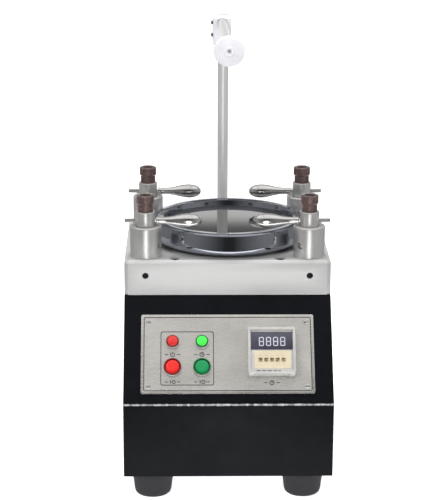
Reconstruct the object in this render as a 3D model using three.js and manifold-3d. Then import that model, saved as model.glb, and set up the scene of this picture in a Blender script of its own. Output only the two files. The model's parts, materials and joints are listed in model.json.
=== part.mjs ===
// Bench polishing machine with four corner pressure posts, built as a three.js scene.
// Millimetres, +Z up. The origin is the centre of the footprint on the surface it stands on.
// +X is to the operator's right and -Y is towards the operator.
import * as THREE from "three";
import { mergeVertices } from "three/addons/utils/BufferGeometryUtils.js";
import Module from "manifold-3d";

const wasm = await Module();
wasm.setup();

// ---------------------------------------------------------------- driving dimensions

const GAP = 0.3; // clearance between pieces that touch
const PLATEN_ROUND = 36; // sides of the platen and its mirror
const ROUND = 24; // sides of a large turned piece
const SMALL_ROUND = 16; // sides of a medium turned piece
const TINY_ROUND = 10; // sides of a small turned piece

// Cabinet
const WIDTH = 210;
const FRONT_Y = -128;
const SLOPE_TOP_Y = -59;
const BACK_Y = 107;
const FOOT_HEIGHT = 26;
const FOLD_Z = 102.5; // where the upright front turns into the sloping panel
const DECK_Z = 195;
const SHEET = 2.5; // cabinet steel
const REAR_SHEET = 2;
const BASE_SHEET = 3;
const FOOT_INSET_X = 29;
const FOOT_INSET_Y = 24;
const FOOT_BOTTOM_RADIUS = 15.4;
const FOOT_TOP_RADIUS = 21.4;
const FOOT_SCREW_RADIUS = 5; // the hole that hides the fixing screw
const FOOT_SCREW_DEPTH = 12;
const DECK_HOLE_RADIUS = 52.5; // the spindle housing hangs through it
const REAR_OPENING = [172, 136];
const REAR_OPENING_Z = 112;
const REAR_PANEL_SIZE = [198, 158];
const REAR_PANEL_Z = 110;
const LOUVRE_ROWS = 7;
const LOUVRE_SIZE = [58, 4];
const LOUVRE_PITCH = 9;
const LOUVRE_BOTTOM = 96;
const LOUVRE_X = 44;
const INLET_PLACE = [58, 62];
const INLET_CUT = [29, 22];
const INLET_FLANGE = [50, 27.5];
const INLET_FLANGE_THICKNESS = 2.2;
const INLET_WALL = 2;
const INLET_DEPTH = 24;
const INLET_MOUTH_DEPTH = 17;

// Sloping control panel; panel positions are [x, distance up the slope from the fold]
const PLATE_SIZE = [174, 83];
const PLATE_CENTRE = [-0.6, 52.6];
const PLATE_THICKNESS = 1.5;
const PLATE_TOP = GAP + PLATE_THICKNESS;
const PANEL_OPENING = [150, 64];
const LAMP_PLACES = { power_lamp: [-55.9, 64.9], timer_lamp: [-26.4, 64.9] };
const BUTTON_PLACES = { power_button: [-55.9, 38.3], timer_button: [-26.4, 38.3] };
const LAMP_RADIUS = 6.5;
const LAMP_HEIGHT = 5.6;
const LAMP_NECK_RADIUS = 5;
const LAMP_DEPTH = 24;
const BUTTON_RING_RADIUS = 8.8;
const BUTTON_RING_HEIGHT = 4.8;
const BUTTON_NECK_RADIUS = 8.2;
const BUTTON_DEPTH = 30;
const BUTTON_WELL_DEPTH = 12;
const BUTTON_CAP_RADIUS = 7.2;
const BUTTON_CAP_HEIGHT = 4.2; // a guarded cap: it stands a little below its ring
const BUTTON_CAP_DEPTH = 9;
const TIMER_CENTRE = [43.3, 53.1];
const TIMER_SIZE = 48;
const TIMER_BODY = 44.4;
const TIMER_DEPTH = 62;
const TIMER_RIM = 2.9;
const TIMER_PROUD = 11;
const TIMER_FACE_DROP = 1.4; // the face lies this far below the bezel's edge
const TIMER_FACE_THICKNESS = 1.2;
const WHEEL_ROOM_DEPTH = 14;
const WHEEL_COUNT = 5;
const WHEEL_PITCH = 5.73;
const WHEEL_RADIUS = 5.4;
const WHEEL_WIDTH = 4.4;
const WHEEL_ROW = -9.9; // centre of the wheel windows, below the timer's centre
const WINDOW = 3.9;

// Top block and its fastenings
const BLOCK_TOP = 231.5;
const BLOCK_CHAMFER = 3;
const BLOCK_CORNER = 4;
const CENTRE_Y = 24; // the four posts stand square round this point
const BLOCK_SCREW = [53.5, 75];
const BLOCK_SCREW_RADIUS = 5.1;
const BLOCK_SCREW_DEPTH = 6.5;
const SET_SCREW_RADIUS = 3.3;
const SET_SCREW_DROP = 16;

// Corner posts, measured from the block's top
const POST_SPACING = [166.8, 124.6];
const POST_RADIUS = 16.2;
const POST_HEIGHT = 31.9;
const SHANK_RADIUS = 7.7;
const SHANK_DEPTH = 24;
const SPIGOT_RADIUS = 6;
const SPIGOT_DEPTH = 20;
const HEAD_RADIUS = 9.9;
const HEAD_TOP = 46.7;
const LEVER_Z = 36.6;
const STUD_RADIUS = 2.4;
const STUD_REACH = 21.2;
const LEVER_REACH = 57.4;
const LEVER_SHOULDER = 11.2;
const KNOB_WAIST_RADIUS = 7.8;
const KNOB_FLANGE_RADIUS = 8.9;
const KNOB_FLANGE_Z = 55.5;
const KNOB_TOP = 63.8;
const KNOB_SHANK_RADIUS = 4.2;
const POST_SCREW_Z = 13;
const POST_SCREW_RADIUS = 3.4;
const KNOB_MOUTH_RADIUS = 5.6;
const KNOB_MOUTH_DEPTH = 6;

// Platen and its planetary drive
const ECCENTRICITY = 2.5;
const PLATEN_RADIUS = 80;
const PLATEN_TOP_RADIUS = 77.6;
const PLATEN_BOTTOM = 2.6;
const PLATEN_TOP = 25.4;
const RECESS_RADIUS = 67.5;
const RECESS_DEPTH = 8.2;
const MIRROR_THICKNESS = 2;
const GEAR_MODULE = 1.25;
const RING_TEETH = 40;
const PINION_TEETH = 36;
const GEAR_BOTTOM = -12;
const GEAR_WIDTH = 7;
const BEARING_WIDTH = 12;
const BEARING_RADIUS = 21;
const SPINDLE_RADIUS = 9.7;
const UPPER_BEARING_Z = -45;
const LOWER_BEARING_Z = -77;
const SPINDLE_BOTTOM = -93;
const SPINDLE_BORE = 38.3;
const HOUSING_RADIUS = 28;
const HOUSING_FLANGE_RADIUS = 50;
const HOUSING_FLANGE_THICKNESS = 8;
const CUP_RADIUS = 23;
const CUP_TOP = -14.5;
const CUP_FLOOR = -26;
const CUP_BORE = 16.3;
const RING_OUTER = 33.5;
const JOURNAL_RADIUS = 7.2; // the part of the platen's shaft inside the eccentric bearing
const SHAFT_RADIUS = 12;
const SHAFT_FLANGE_RADIUS = 20;

// Belt drive
const MOTOR_X = -62;
const MOTOR_SIZE = 56;
const MOTOR_BOTTOM = 50;
const MOTOR_TOP = 132;
const MOTOR_SHAFT_RADIUS = 4;
const MOTOR_BRACKET_SHEET = 3;
const SUPPLY_LOW = [34, 0];
const SUPPLY_HIGH = [90, 78];
const SUPPLY_HEIGHT = 32;
const SUPPLY_LIFT = 4;
const STANDOFF_RADIUS = 3.5;
const STANDOFF_INSET = 8;
const PULLEY_Z = 146;
const BELT_WIDTH = 9;
const BELT_THICKNESS = 1.6;
const SPINDLE_PULLEY_RADIUS = 24;
const MOTOR_PULLEY_RADIUS = 12;

// Cable stand
const ROD_PLACE = [-2, 117];
const ROD_RADIUS = 5.75;
const ROD_TOP = 224.5;
const ROD_BOTTOM = -28;
const BRACKET_SIZE = [42, 20.7, 31];
const CLAMP_SIZE = [19, 33, 29.3];
const CLAMP_BOTTOM = 194.8;
const ARM_OFFSET = -1.7; // the clamp and the arm sit a little to the left of the rod
const CLAMP_BEHIND = 11; // how far the clamp reaches behind the rod's axis
const ARM_Z = 217.8;
const ARM_RADIUS = 5.3;
const ARM_START = 7;
const ARM_TURN = THREE.MathUtils.degToRad(0.9); // the arm is stored a touch to the right
const DISC_FRONT = 208.9;
const DISC_THICKNESS = 9;
const DISC_RADIUS = 14.8;
const DISC_SCREW_RADIUS = 1.5;
const HUB_RADIUS = 5.2;

// ---------------------------------------------------------------- materials

const paint = (color, roughness, metalness) =>
  new THREE.MeshStandardMaterial({ color, roughness, metalness });

const MATERIALS = {
  blackPaint: paint(0x1b1c1f, 0.35, 0),
  rubber: paint(0x16171a, 0.7, 0),
  machinedAluminium: paint(0xd2d2cf, 0.35, 1),
  brushedSteel: paint(0xb6b2aa, 0.35, 1),
  chrome: paint(0xb9bcc2, 0.08, 1),
  polishedSteel: paint(0xcfccc6, 0.15, 1),
  bronze: paint(0x4c3a37, 0.45, 0.8),
  mirror: paint(0xb7b7b7, 0.03, 1),
  darkSteel: paint(0x54565a, 0.4, 0.9),
  gearSteel: paint(0x7d7f83, 0.35, 1),
  zincSteel: paint(0x9fa3a8, 0.4, 0.9),
  beltRubber: paint(0x1c1c1c, 0.8, 0),
  whitePlastic: paint(0xf4f3f6, 0.35, 0),
  paleCase: paint(0xdcdad6, 0.3, 0),
  creamPlastic: paint(0xe6dabd, 0.45, 0),
  wheelPlastic: paint(0x8b7552, 0.5, 0),
  redPlastic: paint(0xe0281e, 0.25, 0),
  greenPlastic: paint(0x0e9b57, 0.25, 0),
  greenLens: paint(0x4df05a, 0.15, 0),
  redLens: paint(0xe63a35, 0.15, 0),
  darkPlastic: paint(0x202123, 0.4, 0),
};

// ---------------------------------------------------------------- shape helpers

function solidOf(geometry) {
  const loose = geometry.index ? geometry.toNonIndexed() : geometry;
  const bare = new THREE.BufferGeometry();
  bare.setAttribute("position", loose.getAttribute("position"));
  const merged = mergeVertices(bare, 1e-4);
  const vertProperties = merged.attributes.position.array;
  const triVerts = new Uint32Array(merged.index.array);
  return new wasm.Manifold(new wasm.Mesh({ numProp: 3, vertProperties, triVerts }));
}

function geometryOf(solid) {
  const { vertProperties, triVerts } = solid.getMesh();
  const geometry = new THREE.BufferGeometry();
  const positions = new Float32Array(vertProperties);
  geometry.setAttribute("position", new THREE.BufferAttribute(positions, 3));
  geometry.setIndex(new THREE.BufferAttribute(new Uint32Array(triVerts), 1));
  const faceted = geometry.toNonIndexed();
  faceted.computeVertexNormals();
  return faceted;
}

function subtract(geometry, ...tools) {
  const cut = (solid, tool) => solid.subtract(solidOf(tool));
  return geometryOf(tools.reduce(cut, solidOf(geometry)));
}

function unite(geometry, ...others) {
  const join = (solid, other) => solid.add(solidOf(other));
  return geometryOf(others.reduce(join, solidOf(geometry)));
}

// A piece turned about Z from [radius, height] points, bottom to top along its outside.
function turned(points, segments = ROUND) {
  const profile = points.map(([radius, height]) => new THREE.Vector2(radius, height));
  return new THREE.LatheGeometry(profile, segments).rotateX(Math.PI / 2);
}

// A turned piece with a hole through it: the profile closes on itself.
function turnedRing(points, segments = ROUND) {
  return turned([...points, points[0]], segments);
}

// A plain tube between two heights.
function tube(inner, outer, bottom, top, segments = ROUND) {
  const outline = [[inner, bottom], [outer, bottom], [outer, top], [inner, top]];
  return turnedRing(outline, segments);
}

// A plain round bar along Z between two heights.
function bar(radius, bottom, top, segments = TINY_ROUND) {
  return turned([[0, bottom], [radius, bottom], [radius, top], [0, top]], segments);
}

function boxBetween(low, high) {
  const size = high.map((value, axis) => value - low[axis]);
  const centre = high.map((value, axis) => (value + low[axis]) / 2);
  return new THREE.BoxGeometry(...size).translate(...centre);
}

function polygon(points) {
  return new THREE.Shape(points.map(([x, y]) => new THREE.Vector2(x, y)));
}

// A rectangle with round corners, centred on the given point.
function roundedRectangle(width, height, radius, [x, y] = [0, 0]) {
  const right = x + width / 2 - radius;
  const left = x - width / 2 + radius;
  const top = y + height / 2 - radius;
  const bottom = y - height / 2 + radius;
  const quarter = Math.PI / 2;
  const shape = new THREE.Shape();
  shape.absarc(right, bottom, radius, -quarter, 0);
  shape.absarc(right, top, radius, 0, quarter);
  shape.absarc(left, top, radius, quarter, 2 * quarter);
  shape.absarc(left, bottom, radius, 2 * quarter, 3 * quarter);
  return shape;
}

// A shape pushed up along Z between two heights.
function slab(shape, bottom, top, curveSegments = 3) {
  const depth = top - bottom;
  const options = { depth, bevelEnabled: false, curveSegments };
  return new THREE.ExtrudeGeometry(shape, options).translate(0, 0, bottom);
}

function mesh(name, geometry, material) {
  const made = new THREE.Mesh(geometry, material);
  made.name = name;
  return made;
}

function groupOf(...children) {
  const group = new THREE.Group();
  group.add(...children);
  return group;
}

// ---------------------------------------------------------------- cabinet

// The corner of an outline moved inwards by the sheet's thickness, square to both edges.
function insetCorner(before, corner, after, thickness) {
  const edgeIn = new THREE.Vector2(corner[0] - before[0], corner[1] - before[1]).normalize();
  const edgeOut = new THREE.Vector2(after[0] - corner[0], after[1] - corner[1]).normalize();
  const normalIn = new THREE.Vector2(edgeIn.y, -edgeIn.x);
  const normalOut = new THREE.Vector2(edgeOut.y, -edgeOut.x);
  const share = thickness / (1 + normalIn.dot(normalOut));
  const move = normalIn.add(normalOut).multiplyScalar(share);
  return [corner[0] + move.x, corner[1] + move.y];
}

// A side outline of [y, z] points pushed across the cabinet along X.
function acrossCabinet(outline, halfWidth) {
  const straight = slab(polygon(outline), -halfWidth, halfWidth);
  return straight.applyMatrix4(new THREE.Matrix4().set(
    0, 0, 1, 0,
    1, 0, 0, 0,
    0, 1, 0, 0,
    0, 0, 0, 1,
  ));
}

const SLOPE = new THREE.Vector2(SLOPE_TOP_Y - FRONT_Y, DECK_Z - FOLD_Z);
const SLOPE_ANGLE = SLOPE.angle();
const SHELL_BACK_Y = BACK_Y - REAR_SHEET - GAP;

// Puts an object in the sloping panel's own frame: X across, Y up the slope, Z out of it.
function onPanel(object) {
  object.position.set(0, FRONT_Y, FOLD_Z);
  object.rotation.x = SLOPE_ANGLE;
  object.updateMatrix();
  return object;
}

function onPanelGeometry(geometry) {
  return geometry.applyMatrix4(onPanel(new THREE.Object3D()).matrix);
}

function housingShell() {
  const outline = [
    [FRONT_Y, FOOT_HEIGHT],
    [FRONT_Y, FOLD_Z],
    [SLOPE_TOP_Y, DECK_Z],
    [SHELL_BACK_Y, DECK_Z],
    [SHELL_BACK_Y, FOOT_HEIGHT],
  ];
  const wrap = (index) => outline[(index + outline.length) % outline.length];
  const inner = outline.map((corner, index) =>
    insetCorner(wrap(index - 1), corner, wrap(index + 1), SHEET));
  const belowFloor = FOOT_HEIGHT - SHEET;
  inner[0][1] = belowFloor;
  inner[outline.length - 1][1] = belowFloor;
  const body = acrossCabinet([...outline].reverse(), WIDTH / 2);
  const hollow = acrossCabinet([...inner].reverse(), WIDTH / 2 - SHEET);
  const deckHole = bar(DECK_HOLE_RADIUS, DECK_Z - 2 * SHEET, DECK_Z + SHEET, ROUND);
  deckHole.translate(0, CENTRE_Y, 0);
  const opening = roundedRectangle(...PANEL_OPENING, 3, PLATE_CENTRE);
  const panelHole = onPanelGeometry(slab(opening, -3 * SHEET, SHEET));
  const [halfWidth, halfHeight] = REAR_OPENING.map((side) => side / 2);
  const rearHole = boxBetween(
    [-halfWidth, SHELL_BACK_Y - 2 * SHEET, REAR_OPENING_Z - halfHeight],
    [halfWidth, BACK_Y, REAR_OPENING_Z + halfHeight],
  );
  return subtract(body, hollow, deckHole, panelHole, rearHole);
}

function rearPanel() {
  const outline = roundedRectangle(...REAR_PANEL_SIZE, 3, [0, REAR_PANEL_Z]);
  outline.holes = [roundedRectangle(...INLET_CUT, 1, INLET_PLACE)];
  const [halfLength, halfHeight] = LOUVRE_SIZE.map((side) => side / 2);
  const slots = [];
  for (const x of [-LOUVRE_X, LOUVRE_X]) {
    for (let row = 0; row < LOUVRE_ROWS; row += 1) {
      const z = LOUVRE_BOTTOM + row * LOUVRE_PITCH;
      slots.push(boxBetween(
        [x - halfLength, SHELL_BACK_Y, z - halfHeight],
        [x + halfLength, BACK_Y + 1, z + halfHeight],
      ));
    }
  }
  const sheet = uprightSlab(outline, BACK_Y - REAR_SHEET, BACK_Y, 3);
  return subtract(sheet, ...slots);
}

// A shape drawn in the X-Z plane and pushed along Y between two places.
function uprightSlab(shape, front, back, curveSegments = 3) {
  return slab(shape, -back, -front, curveSegments).rotateX(Math.PI / 2);
}

function powerInlet() {
  const face = BACK_Y + GAP;
  const front = face + INLET_FLANGE_THICKNESS;
  const block = ([width, height], radius, deep, shallow) =>
    uprightSlab(roundedRectangle(width, height, radius, INLET_PLACE), deep, shallow);
  const bodySize = INLET_CUT.map((side) => side - 2 * GAP);
  const mouthSize = bodySize.map((side) => side - 2 * INLET_WALL);
  return subtract(
    unite(block(INLET_FLANGE, 3, face, front), block(bodySize, 1, face - INLET_DEPTH, face + 1)),
    block(mouthSize, 2, face - INLET_MOUTH_DEPTH, front + 1),
  );
}

function foot() {
  const top = FOOT_HEIGHT - GAP;
  const lower = FOOT_BOTTOM_RADIUS;
  const upper = FOOT_TOP_RADIUS;
  return turned([
    [0, FOOT_SCREW_DEPTH], [FOOT_SCREW_RADIUS, FOOT_SCREW_DEPTH], [FOOT_SCREW_RADIUS, 0],
    [lower, 0], [lower + 2.2, 1.4], [lower + 3.4, 4.5], [lower + 4.4, 12],
    [upper - 0.6, 19], [upper, 24], [upper, top], [0, top],
  ], SMALL_ROUND);
}

const BASE_MARGIN = SHEET + GAP;

function cabinet() {
  const parts = [
    mesh("housing_shell", housingShell(), MATERIALS.blackPaint),
    mesh("base_plate", boxBetween(
      [-WIDTH / 2 + BASE_MARGIN, FRONT_Y + BASE_MARGIN, FOOT_HEIGHT],
      [WIDTH / 2 - BASE_MARGIN, SHELL_BACK_Y - BASE_MARGIN, FOOT_HEIGHT + BASE_SHEET],
    ), MATERIALS.zincSteel),
    mesh("rear_panel", rearPanel(), MATERIALS.blackPaint),
    mesh("power_inlet", powerInlet(), MATERIALS.darkPlastic),
  ];
  const footX = WIDTH / 2 - FOOT_INSET_X;
  for (const [end, y] of [["front", FRONT_Y + FOOT_INSET_Y], ["rear", BACK_Y - FOOT_INSET_Y]]) {
    for (const [side, x] of [["left", -footX], ["right", footX]]) {
      const made = mesh(`foot_${end}_${side}`, foot(), MATERIALS.rubber);
      made.position.set(x, y, 0);
      parts.push(made);
    }
  }
  return groupOf(...parts);
}

// ---------------------------------------------------------------- control panel

function controlPlate() {
  const outline = roundedRectangle(...PLATE_SIZE, 2, PLATE_CENTRE);
  const timerHole = TIMER_BODY + 2 * GAP;
  outline.holes = [roundedRectangle(timerHole, timerHole, 1, TIMER_CENTRE)];
  const hole = (radius) => ([x, y]) =>
    bar(radius + GAP, -1, PLATE_TOP + 1, SMALL_ROUND).translate(x, y, 0);
  return subtract(
    slab(outline, GAP, PLATE_TOP, 3),
    ...Object.values(LAMP_PLACES).map(hole(LAMP_NECK_RADIUS)),
    ...Object.values(BUTTON_PLACES).map(hole(BUTTON_NECK_RADIUS)),
  );
}

const SEAT = PLATE_TOP + GAP; // where a bezel rests on the plate

function lamp() {
  const outline = [
    [0, -LAMP_DEPTH], [LAMP_NECK_RADIUS, -LAMP_DEPTH], [LAMP_NECK_RADIUS, SEAT],
    [LAMP_RADIUS, SEAT], [LAMP_RADIUS, SEAT + 1.6], [LAMP_RADIUS - 0.9, SEAT + 3.4],
    [LAMP_RADIUS - 2.4, SEAT + LAMP_HEIGHT - 0.6], [0, SEAT + LAMP_HEIGHT],
  ];
  return turned(outline, SMALL_ROUND);
}

function buttonRing() {
  const bore = BUTTON_CAP_RADIUS + GAP;
  const top = SEAT + BUTTON_RING_HEIGHT;
  const outline = [
    [0, -BUTTON_DEPTH], [BUTTON_NECK_RADIUS, -BUTTON_DEPTH], [BUTTON_NECK_RADIUS, SEAT],
    [BUTTON_RING_RADIUS, SEAT], [BUTTON_RING_RADIUS, top - 0.7], [BUTTON_RING_RADIUS - 0.5, top],
    [bore, top], [bore, -BUTTON_WELL_DEPTH], [0, -BUTTON_WELL_DEPTH],
  ];
  return turned(outline, SMALL_ROUND);
}

function buttonCap() {
  const radius = BUTTON_CAP_RADIUS;
  const top = SEAT + BUTTON_CAP_HEIGHT;
  const outline = [
    [0, -BUTTON_CAP_DEPTH], [radius, -BUTTON_CAP_DEPTH], [radius, top - 0.8],
    [radius - 0.8, top - 0.2], [0, top],
  ];
  return turned(outline, SMALL_ROUND);
}

const TIMER_FACE_TOP = SEAT + TIMER_PROUD - TIMER_FACE_DROP;
const TIMER_FACE_SEAT = TIMER_FACE_TOP - TIMER_FACE_THICKNESS - GAP;
const WHEEL_CLEARANCE = 0.2; // beyond the gap, so that the wheels turn freely under the face
const WHEEL_CENTRE_Z = TIMER_FACE_SEAT - WHEEL_CLEARANCE - WHEEL_RADIUS;

function wheelX(index) {
  return (index - (WHEEL_COUNT - 1) / 2) * WHEEL_PITCH;
}

function timerCase() {
  const top = SEAT + TIMER_PROUD;
  const bezel = slab(roundedRectangle(TIMER_SIZE, TIMER_SIZE, 1.6), SEAT, top);
  const body = slab(roundedRectangle(TIMER_BODY, TIMER_BODY, 1), -TIMER_DEPTH, SEAT + 1);
  const inside = TIMER_SIZE - 2 * TIMER_RIM;
  const recess = slab(roundedRectangle(inside, inside, 0.6), TIMER_FACE_SEAT, top + 1);
  const roomX = WHEEL_COUNT * WHEEL_PITCH / 2 + 1;
  const roomY = WHEEL_RADIUS + 1;
  const room = boxBetween(
    [-roomX, WHEEL_ROW - roomY, -WHEEL_ROOM_DEPTH],
    [roomX, WHEEL_ROW + roomY, top],
  );
  return subtract(unite(bezel, body), recess, room);
}

function timerFace() {
  const side = TIMER_SIZE - 2 * TIMER_RIM - 2 * GAP;
  const top = TIMER_FACE_TOP;
  const bottom = top - TIMER_FACE_THICKNESS;
  const windows = Array.from({ length: WHEEL_COUNT }, (_, index) => boxBetween(
    [wheelX(index) - WINDOW / 2, WHEEL_ROW - WINDOW / 2, bottom - 1],
    [wheelX(index) + WINDOW / 2, WHEEL_ROW + WINDOW / 2, top + 1],
  ));
  return subtract(slab(roundedRectangle(side, side, 0.4), bottom, top, 2), ...windows);
}

function controlPanel() {
  const parts = [mesh("control_plate", controlPlate(), MATERIALS.brushedSteel)];
  const place = (made, [x, y], z = 0) => {
    made.position.set(x, y, z);
    parts.push(made);
  };
  place(mesh("power_lamp", lamp(), MATERIALS.redLens), LAMP_PLACES.power_lamp);
  place(mesh("timer_lamp", lamp(), MATERIALS.greenLens), LAMP_PLACES.timer_lamp);
  const caps = { power_button: MATERIALS.redPlastic, timer_button: MATERIALS.greenPlastic };
  for (const [name, where] of Object.entries(BUTTON_PLACES)) {
    place(mesh(`${name}_ring`, buttonRing(), MATERIALS.darkPlastic), where);
    place(mesh(name, buttonCap(), caps[name]), where);
  }
  place(mesh("timer_case", timerCase(), MATERIALS.paleCase), TIMER_CENTRE);
  place(mesh("timer_face", timerFace(), MATERIALS.creamPlastic), TIMER_CENTRE);
  for (let index = 0; index < WHEEL_COUNT; index += 1) {
    const half = WHEEL_WIDTH / 2;
    const wheel = bar(WHEEL_RADIUS, -half, half, TINY_ROUND).rotateY(Math.PI / 2);
    const where = [TIMER_CENTRE[0] + wheelX(index), TIMER_CENTRE[1] + WHEEL_ROW];
    place(mesh(`timer_wheel_${index + 1}`, wheel, MATERIALS.wheelPlastic), where, WHEEL_CENTRE_Z);
  }
  return onPanel(groupOf(...parts));
}

// ---------------------------------------------------------------- top block

const POST_PLACES = {
  front_left: [-POST_SPACING[0] / 2, CENTRE_Y - POST_SPACING[1] / 2],
  front_right: [POST_SPACING[0] / 2, CENTRE_Y - POST_SPACING[1] / 2],
  rear_left: [-POST_SPACING[0] / 2, CENTRE_Y + POST_SPACING[1] / 2],
  rear_right: [POST_SPACING[0] / 2, CENTRE_Y + POST_SPACING[1] / 2],
};
const BLOCK_BOTTOM = DECK_Z + GAP;

// A hole along Y in from the front or rear face to a post's shank.
function setScrewHole([x, y]) {
  const face = y < CENTRE_Y ? SLOPE_TOP_Y - 1 : BACK_Y + 1;
  const length = Math.abs(face - y);
  const hole = bar(SET_SCREW_RADIUS, 0, length).rotateX(Math.PI / 2);
  return hole.translate(x, Math.max(face, y), BLOCK_TOP - SET_SCREW_DROP);
}

function topBlock() {
  const halfX = WIDTH / 2;
  const cut = BLOCK_CORNER;
  const outline = polygon([
    [-halfX + cut, SLOPE_TOP_Y], [halfX - cut, SLOPE_TOP_Y], [halfX, SLOPE_TOP_Y + cut],
    [halfX, BACK_Y - cut], [halfX - cut, BACK_Y], [-halfX + cut, BACK_Y],
    [-halfX, BACK_Y - cut], [-halfX, SLOPE_TOP_Y + cut],
  ]);
  const hidden = 2 * BLOCK_CHAMFER; // the lower bevel is made below the block and cut away
  const bevelled = new THREE.ExtrudeGeometry(outline, {
    depth: BLOCK_TOP - BLOCK_BOTTOM + hidden - 2 * BLOCK_CHAMFER,
    bevelEnabled: true,
    bevelThickness: BLOCK_CHAMFER,
    bevelSize: BLOCK_CHAMFER,
    bevelOffset: -BLOCK_CHAMFER,
    bevelSegments: 1,
  }).translate(0, 0, BLOCK_BOTTOM - hidden + BLOCK_CHAMFER);
  const lowerBevel = boxBetween([-WIDTH, FRONT_Y, 0], [WIDTH, 2 * BACK_Y, BLOCK_BOTTOM]);
  const over = BLOCK_TOP + 1;
  const spindleHole = bar(SPINDLE_BORE, BLOCK_BOTTOM - 1, over, ROUND).translate(0, CENTRE_Y, 0);
  const tools = [lowerBevel, spindleHole];
  for (const place of Object.values(POST_PLACES)) {
    const socketBottom = BLOCK_TOP - SHANK_DEPTH - 2;
    tools.push(bar(SHANK_RADIUS + GAP, socketBottom, over, ROUND).translate(...place, 0));
    tools.push(setScrewHole(place));
  }
  for (const x of [-BLOCK_SCREW[0], BLOCK_SCREW[0]]) {
    for (const y of [CENTRE_Y - BLOCK_SCREW[1], CENTRE_Y + BLOCK_SCREW[1]]) {
      const bore = bar(BLOCK_SCREW_RADIUS, BLOCK_TOP - BLOCK_SCREW_DEPTH, over);
      tools.push(bore.translate(x, y, 0));
    }
  }
  return subtract(bevelled, ...tools);
}

// ---------------------------------------------------------------- platen drive

function spindleHousing() {
  const seat = BEARING_RADIUS + GAP;
  const lip = BEARING_RADIUS - 3;
  const upperTop = UPPER_BEARING_Z + BEARING_WIDTH + GAP;
  const lowerTop = LOWER_BEARING_Z + BEARING_WIDTH + GAP;
  const flangeTop = BLOCK_BOTTOM - BLOCK_TOP - GAP;
  const flangeBottom = flangeTop - HOUSING_FLANGE_THICKNESS;
  const gearSeat = GEAR_BOTTOM - GAP;
  const top = GEAR_BOTTOM + GEAR_WIDTH;
  return turnedRing([
    [seat, LOWER_BEARING_Z], [HOUSING_RADIUS, LOWER_BEARING_Z],
    [HOUSING_RADIUS, flangeBottom], [HOUSING_FLANGE_RADIUS, flangeBottom],
    [HOUSING_FLANGE_RADIUS, flangeTop], [SPINDLE_BORE - GAP, flangeTop],
    [SPINDLE_BORE - GAP, top], [RING_OUTER + GAP, top], [RING_OUTER + GAP, gearSeat],
    [CUP_RADIUS + 4, gearSeat], [CUP_RADIUS + 4, upperTop], [seat, upperTop],
    [seat, UPPER_BEARING_Z], [lip, UPPER_BEARING_Z], [lip, lowerTop], [seat, lowerTop],
  ]);
}

// A toothed outline: each tooth is a flat-topped wedge, a share of the pitch wide at each end.
function toothedOutline(teeth, rootRadius, tipRadius, rootShare, tipShare, firstAngle) {
  const pitch = 2 * Math.PI / teeth;
  const at = (radius, angle) => new THREE.Vector2(
    radius * Math.cos(angle), radius * Math.sin(angle));
  const points = [];
  for (let tooth = 0; tooth < teeth; tooth += 1) {
    const centre = firstAngle + tooth * pitch;
    points.push(
      at(rootRadius, centre - rootShare * pitch / 2),
      at(tipRadius, centre - tipShare * pitch / 2),
      at(tipRadius, centre + tipShare * pitch / 2),
      at(rootRadius, centre + rootShare * pitch / 2),
    );
  }
  return points;
}

const ROOT_SHARE = 0.56;
const TIP_SHARE = 0.24;
const ADDENDUM = 0.42 * GEAR_MODULE;
const DEDENDUM = 0.75 * GEAR_MODULE;

function ringGear() {
  const pitchRadius = RING_TEETH * GEAR_MODULE / 2;
  const firstAngle = Math.PI / RING_TEETH; // a gap faces the pinion tooth on +X
  const inside = toothedOutline(RING_TEETH, pitchRadius + DEDENDUM, pitchRadius - ADDENDUM,
    ROOT_SHARE, TIP_SHARE, firstAngle);
  const shape = new THREE.Shape().absarc(0, 0, RING_OUTER, 0, 2 * Math.PI);
  shape.holes = [new THREE.Path(inside.reverse())];
  return slab(shape, GEAR_BOTTOM, GEAR_BOTTOM + GEAR_WIDTH, 12);
}

function platenShaft() {
  const pitchRadius = PINION_TEETH * GEAR_MODULE / 2;
  const outline = toothedOutline(PINION_TEETH, pitchRadius - DEDENDUM, pitchRadius + ADDENDUM,
    ROOT_SHARE, TIP_SHARE, 0);
  const pinion = slab(new THREE.Shape(outline), GEAR_BOTTOM, GEAR_BOTTOM + GEAR_WIDTH);
  const top = PLATEN_BOTTOM - GAP;
  const journalBottom = CUP_FLOOR + 0.4;
  const shoulder = CUP_TOP + 0.5;
  const shaft = turned([
    [0, journalBottom], [JOURNAL_RADIUS, journalBottom], [JOURNAL_RADIUS, shoulder],
    [SHAFT_RADIUS, shoulder], [SHAFT_RADIUS, top - 5.7], [SHAFT_FLANGE_RADIUS, top - 3.7],
    [SHAFT_FLANGE_RADIUS, top], [0, top],
  ]);
  return unite(shaft, pinion);
}

function crankSpindle() {
  const outside = turned([
    [0, SPINDLE_BOTTOM], [SPINDLE_RADIUS, SPINDLE_BOTTOM], [SPINDLE_RADIUS, CUP_FLOOR - 6],
    [CUP_RADIUS, CUP_FLOOR - 5.5], [CUP_RADIUS, CUP_TOP], [0, CUP_TOP],
  ]);
  const pocket = bar(CUP_BORE, CUP_FLOOR, CUP_TOP + 1, ROUND).translate(ECCENTRICITY, 0, 0);
  return subtract(outside, pocket);
}

function platen() {
  const bottom = PLATEN_BOTTOM;
  const top = PLATEN_TOP;
  const edge = PLATEN_RADIUS;
  const rim = PLATEN_TOP_RADIUS;
  const mouth = RECESS_RADIUS;
  return turned([
    [0, bottom], [edge - 3.2, bottom], [edge - 1.2, bottom + 0.8], [edge - 0.2, bottom + 2.6],
    [edge, bottom + 5], [edge, top - 6], [edge - 0.6, top - 3], [rim, top - 0.6],
    [rim - 1.2, top], [mouth + 1, top - 0.3], [mouth, top - 1.2],
    [mouth, top - RECESS_DEPTH], [0, top - RECESS_DEPTH],
  ], PLATEN_ROUND);
}

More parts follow.
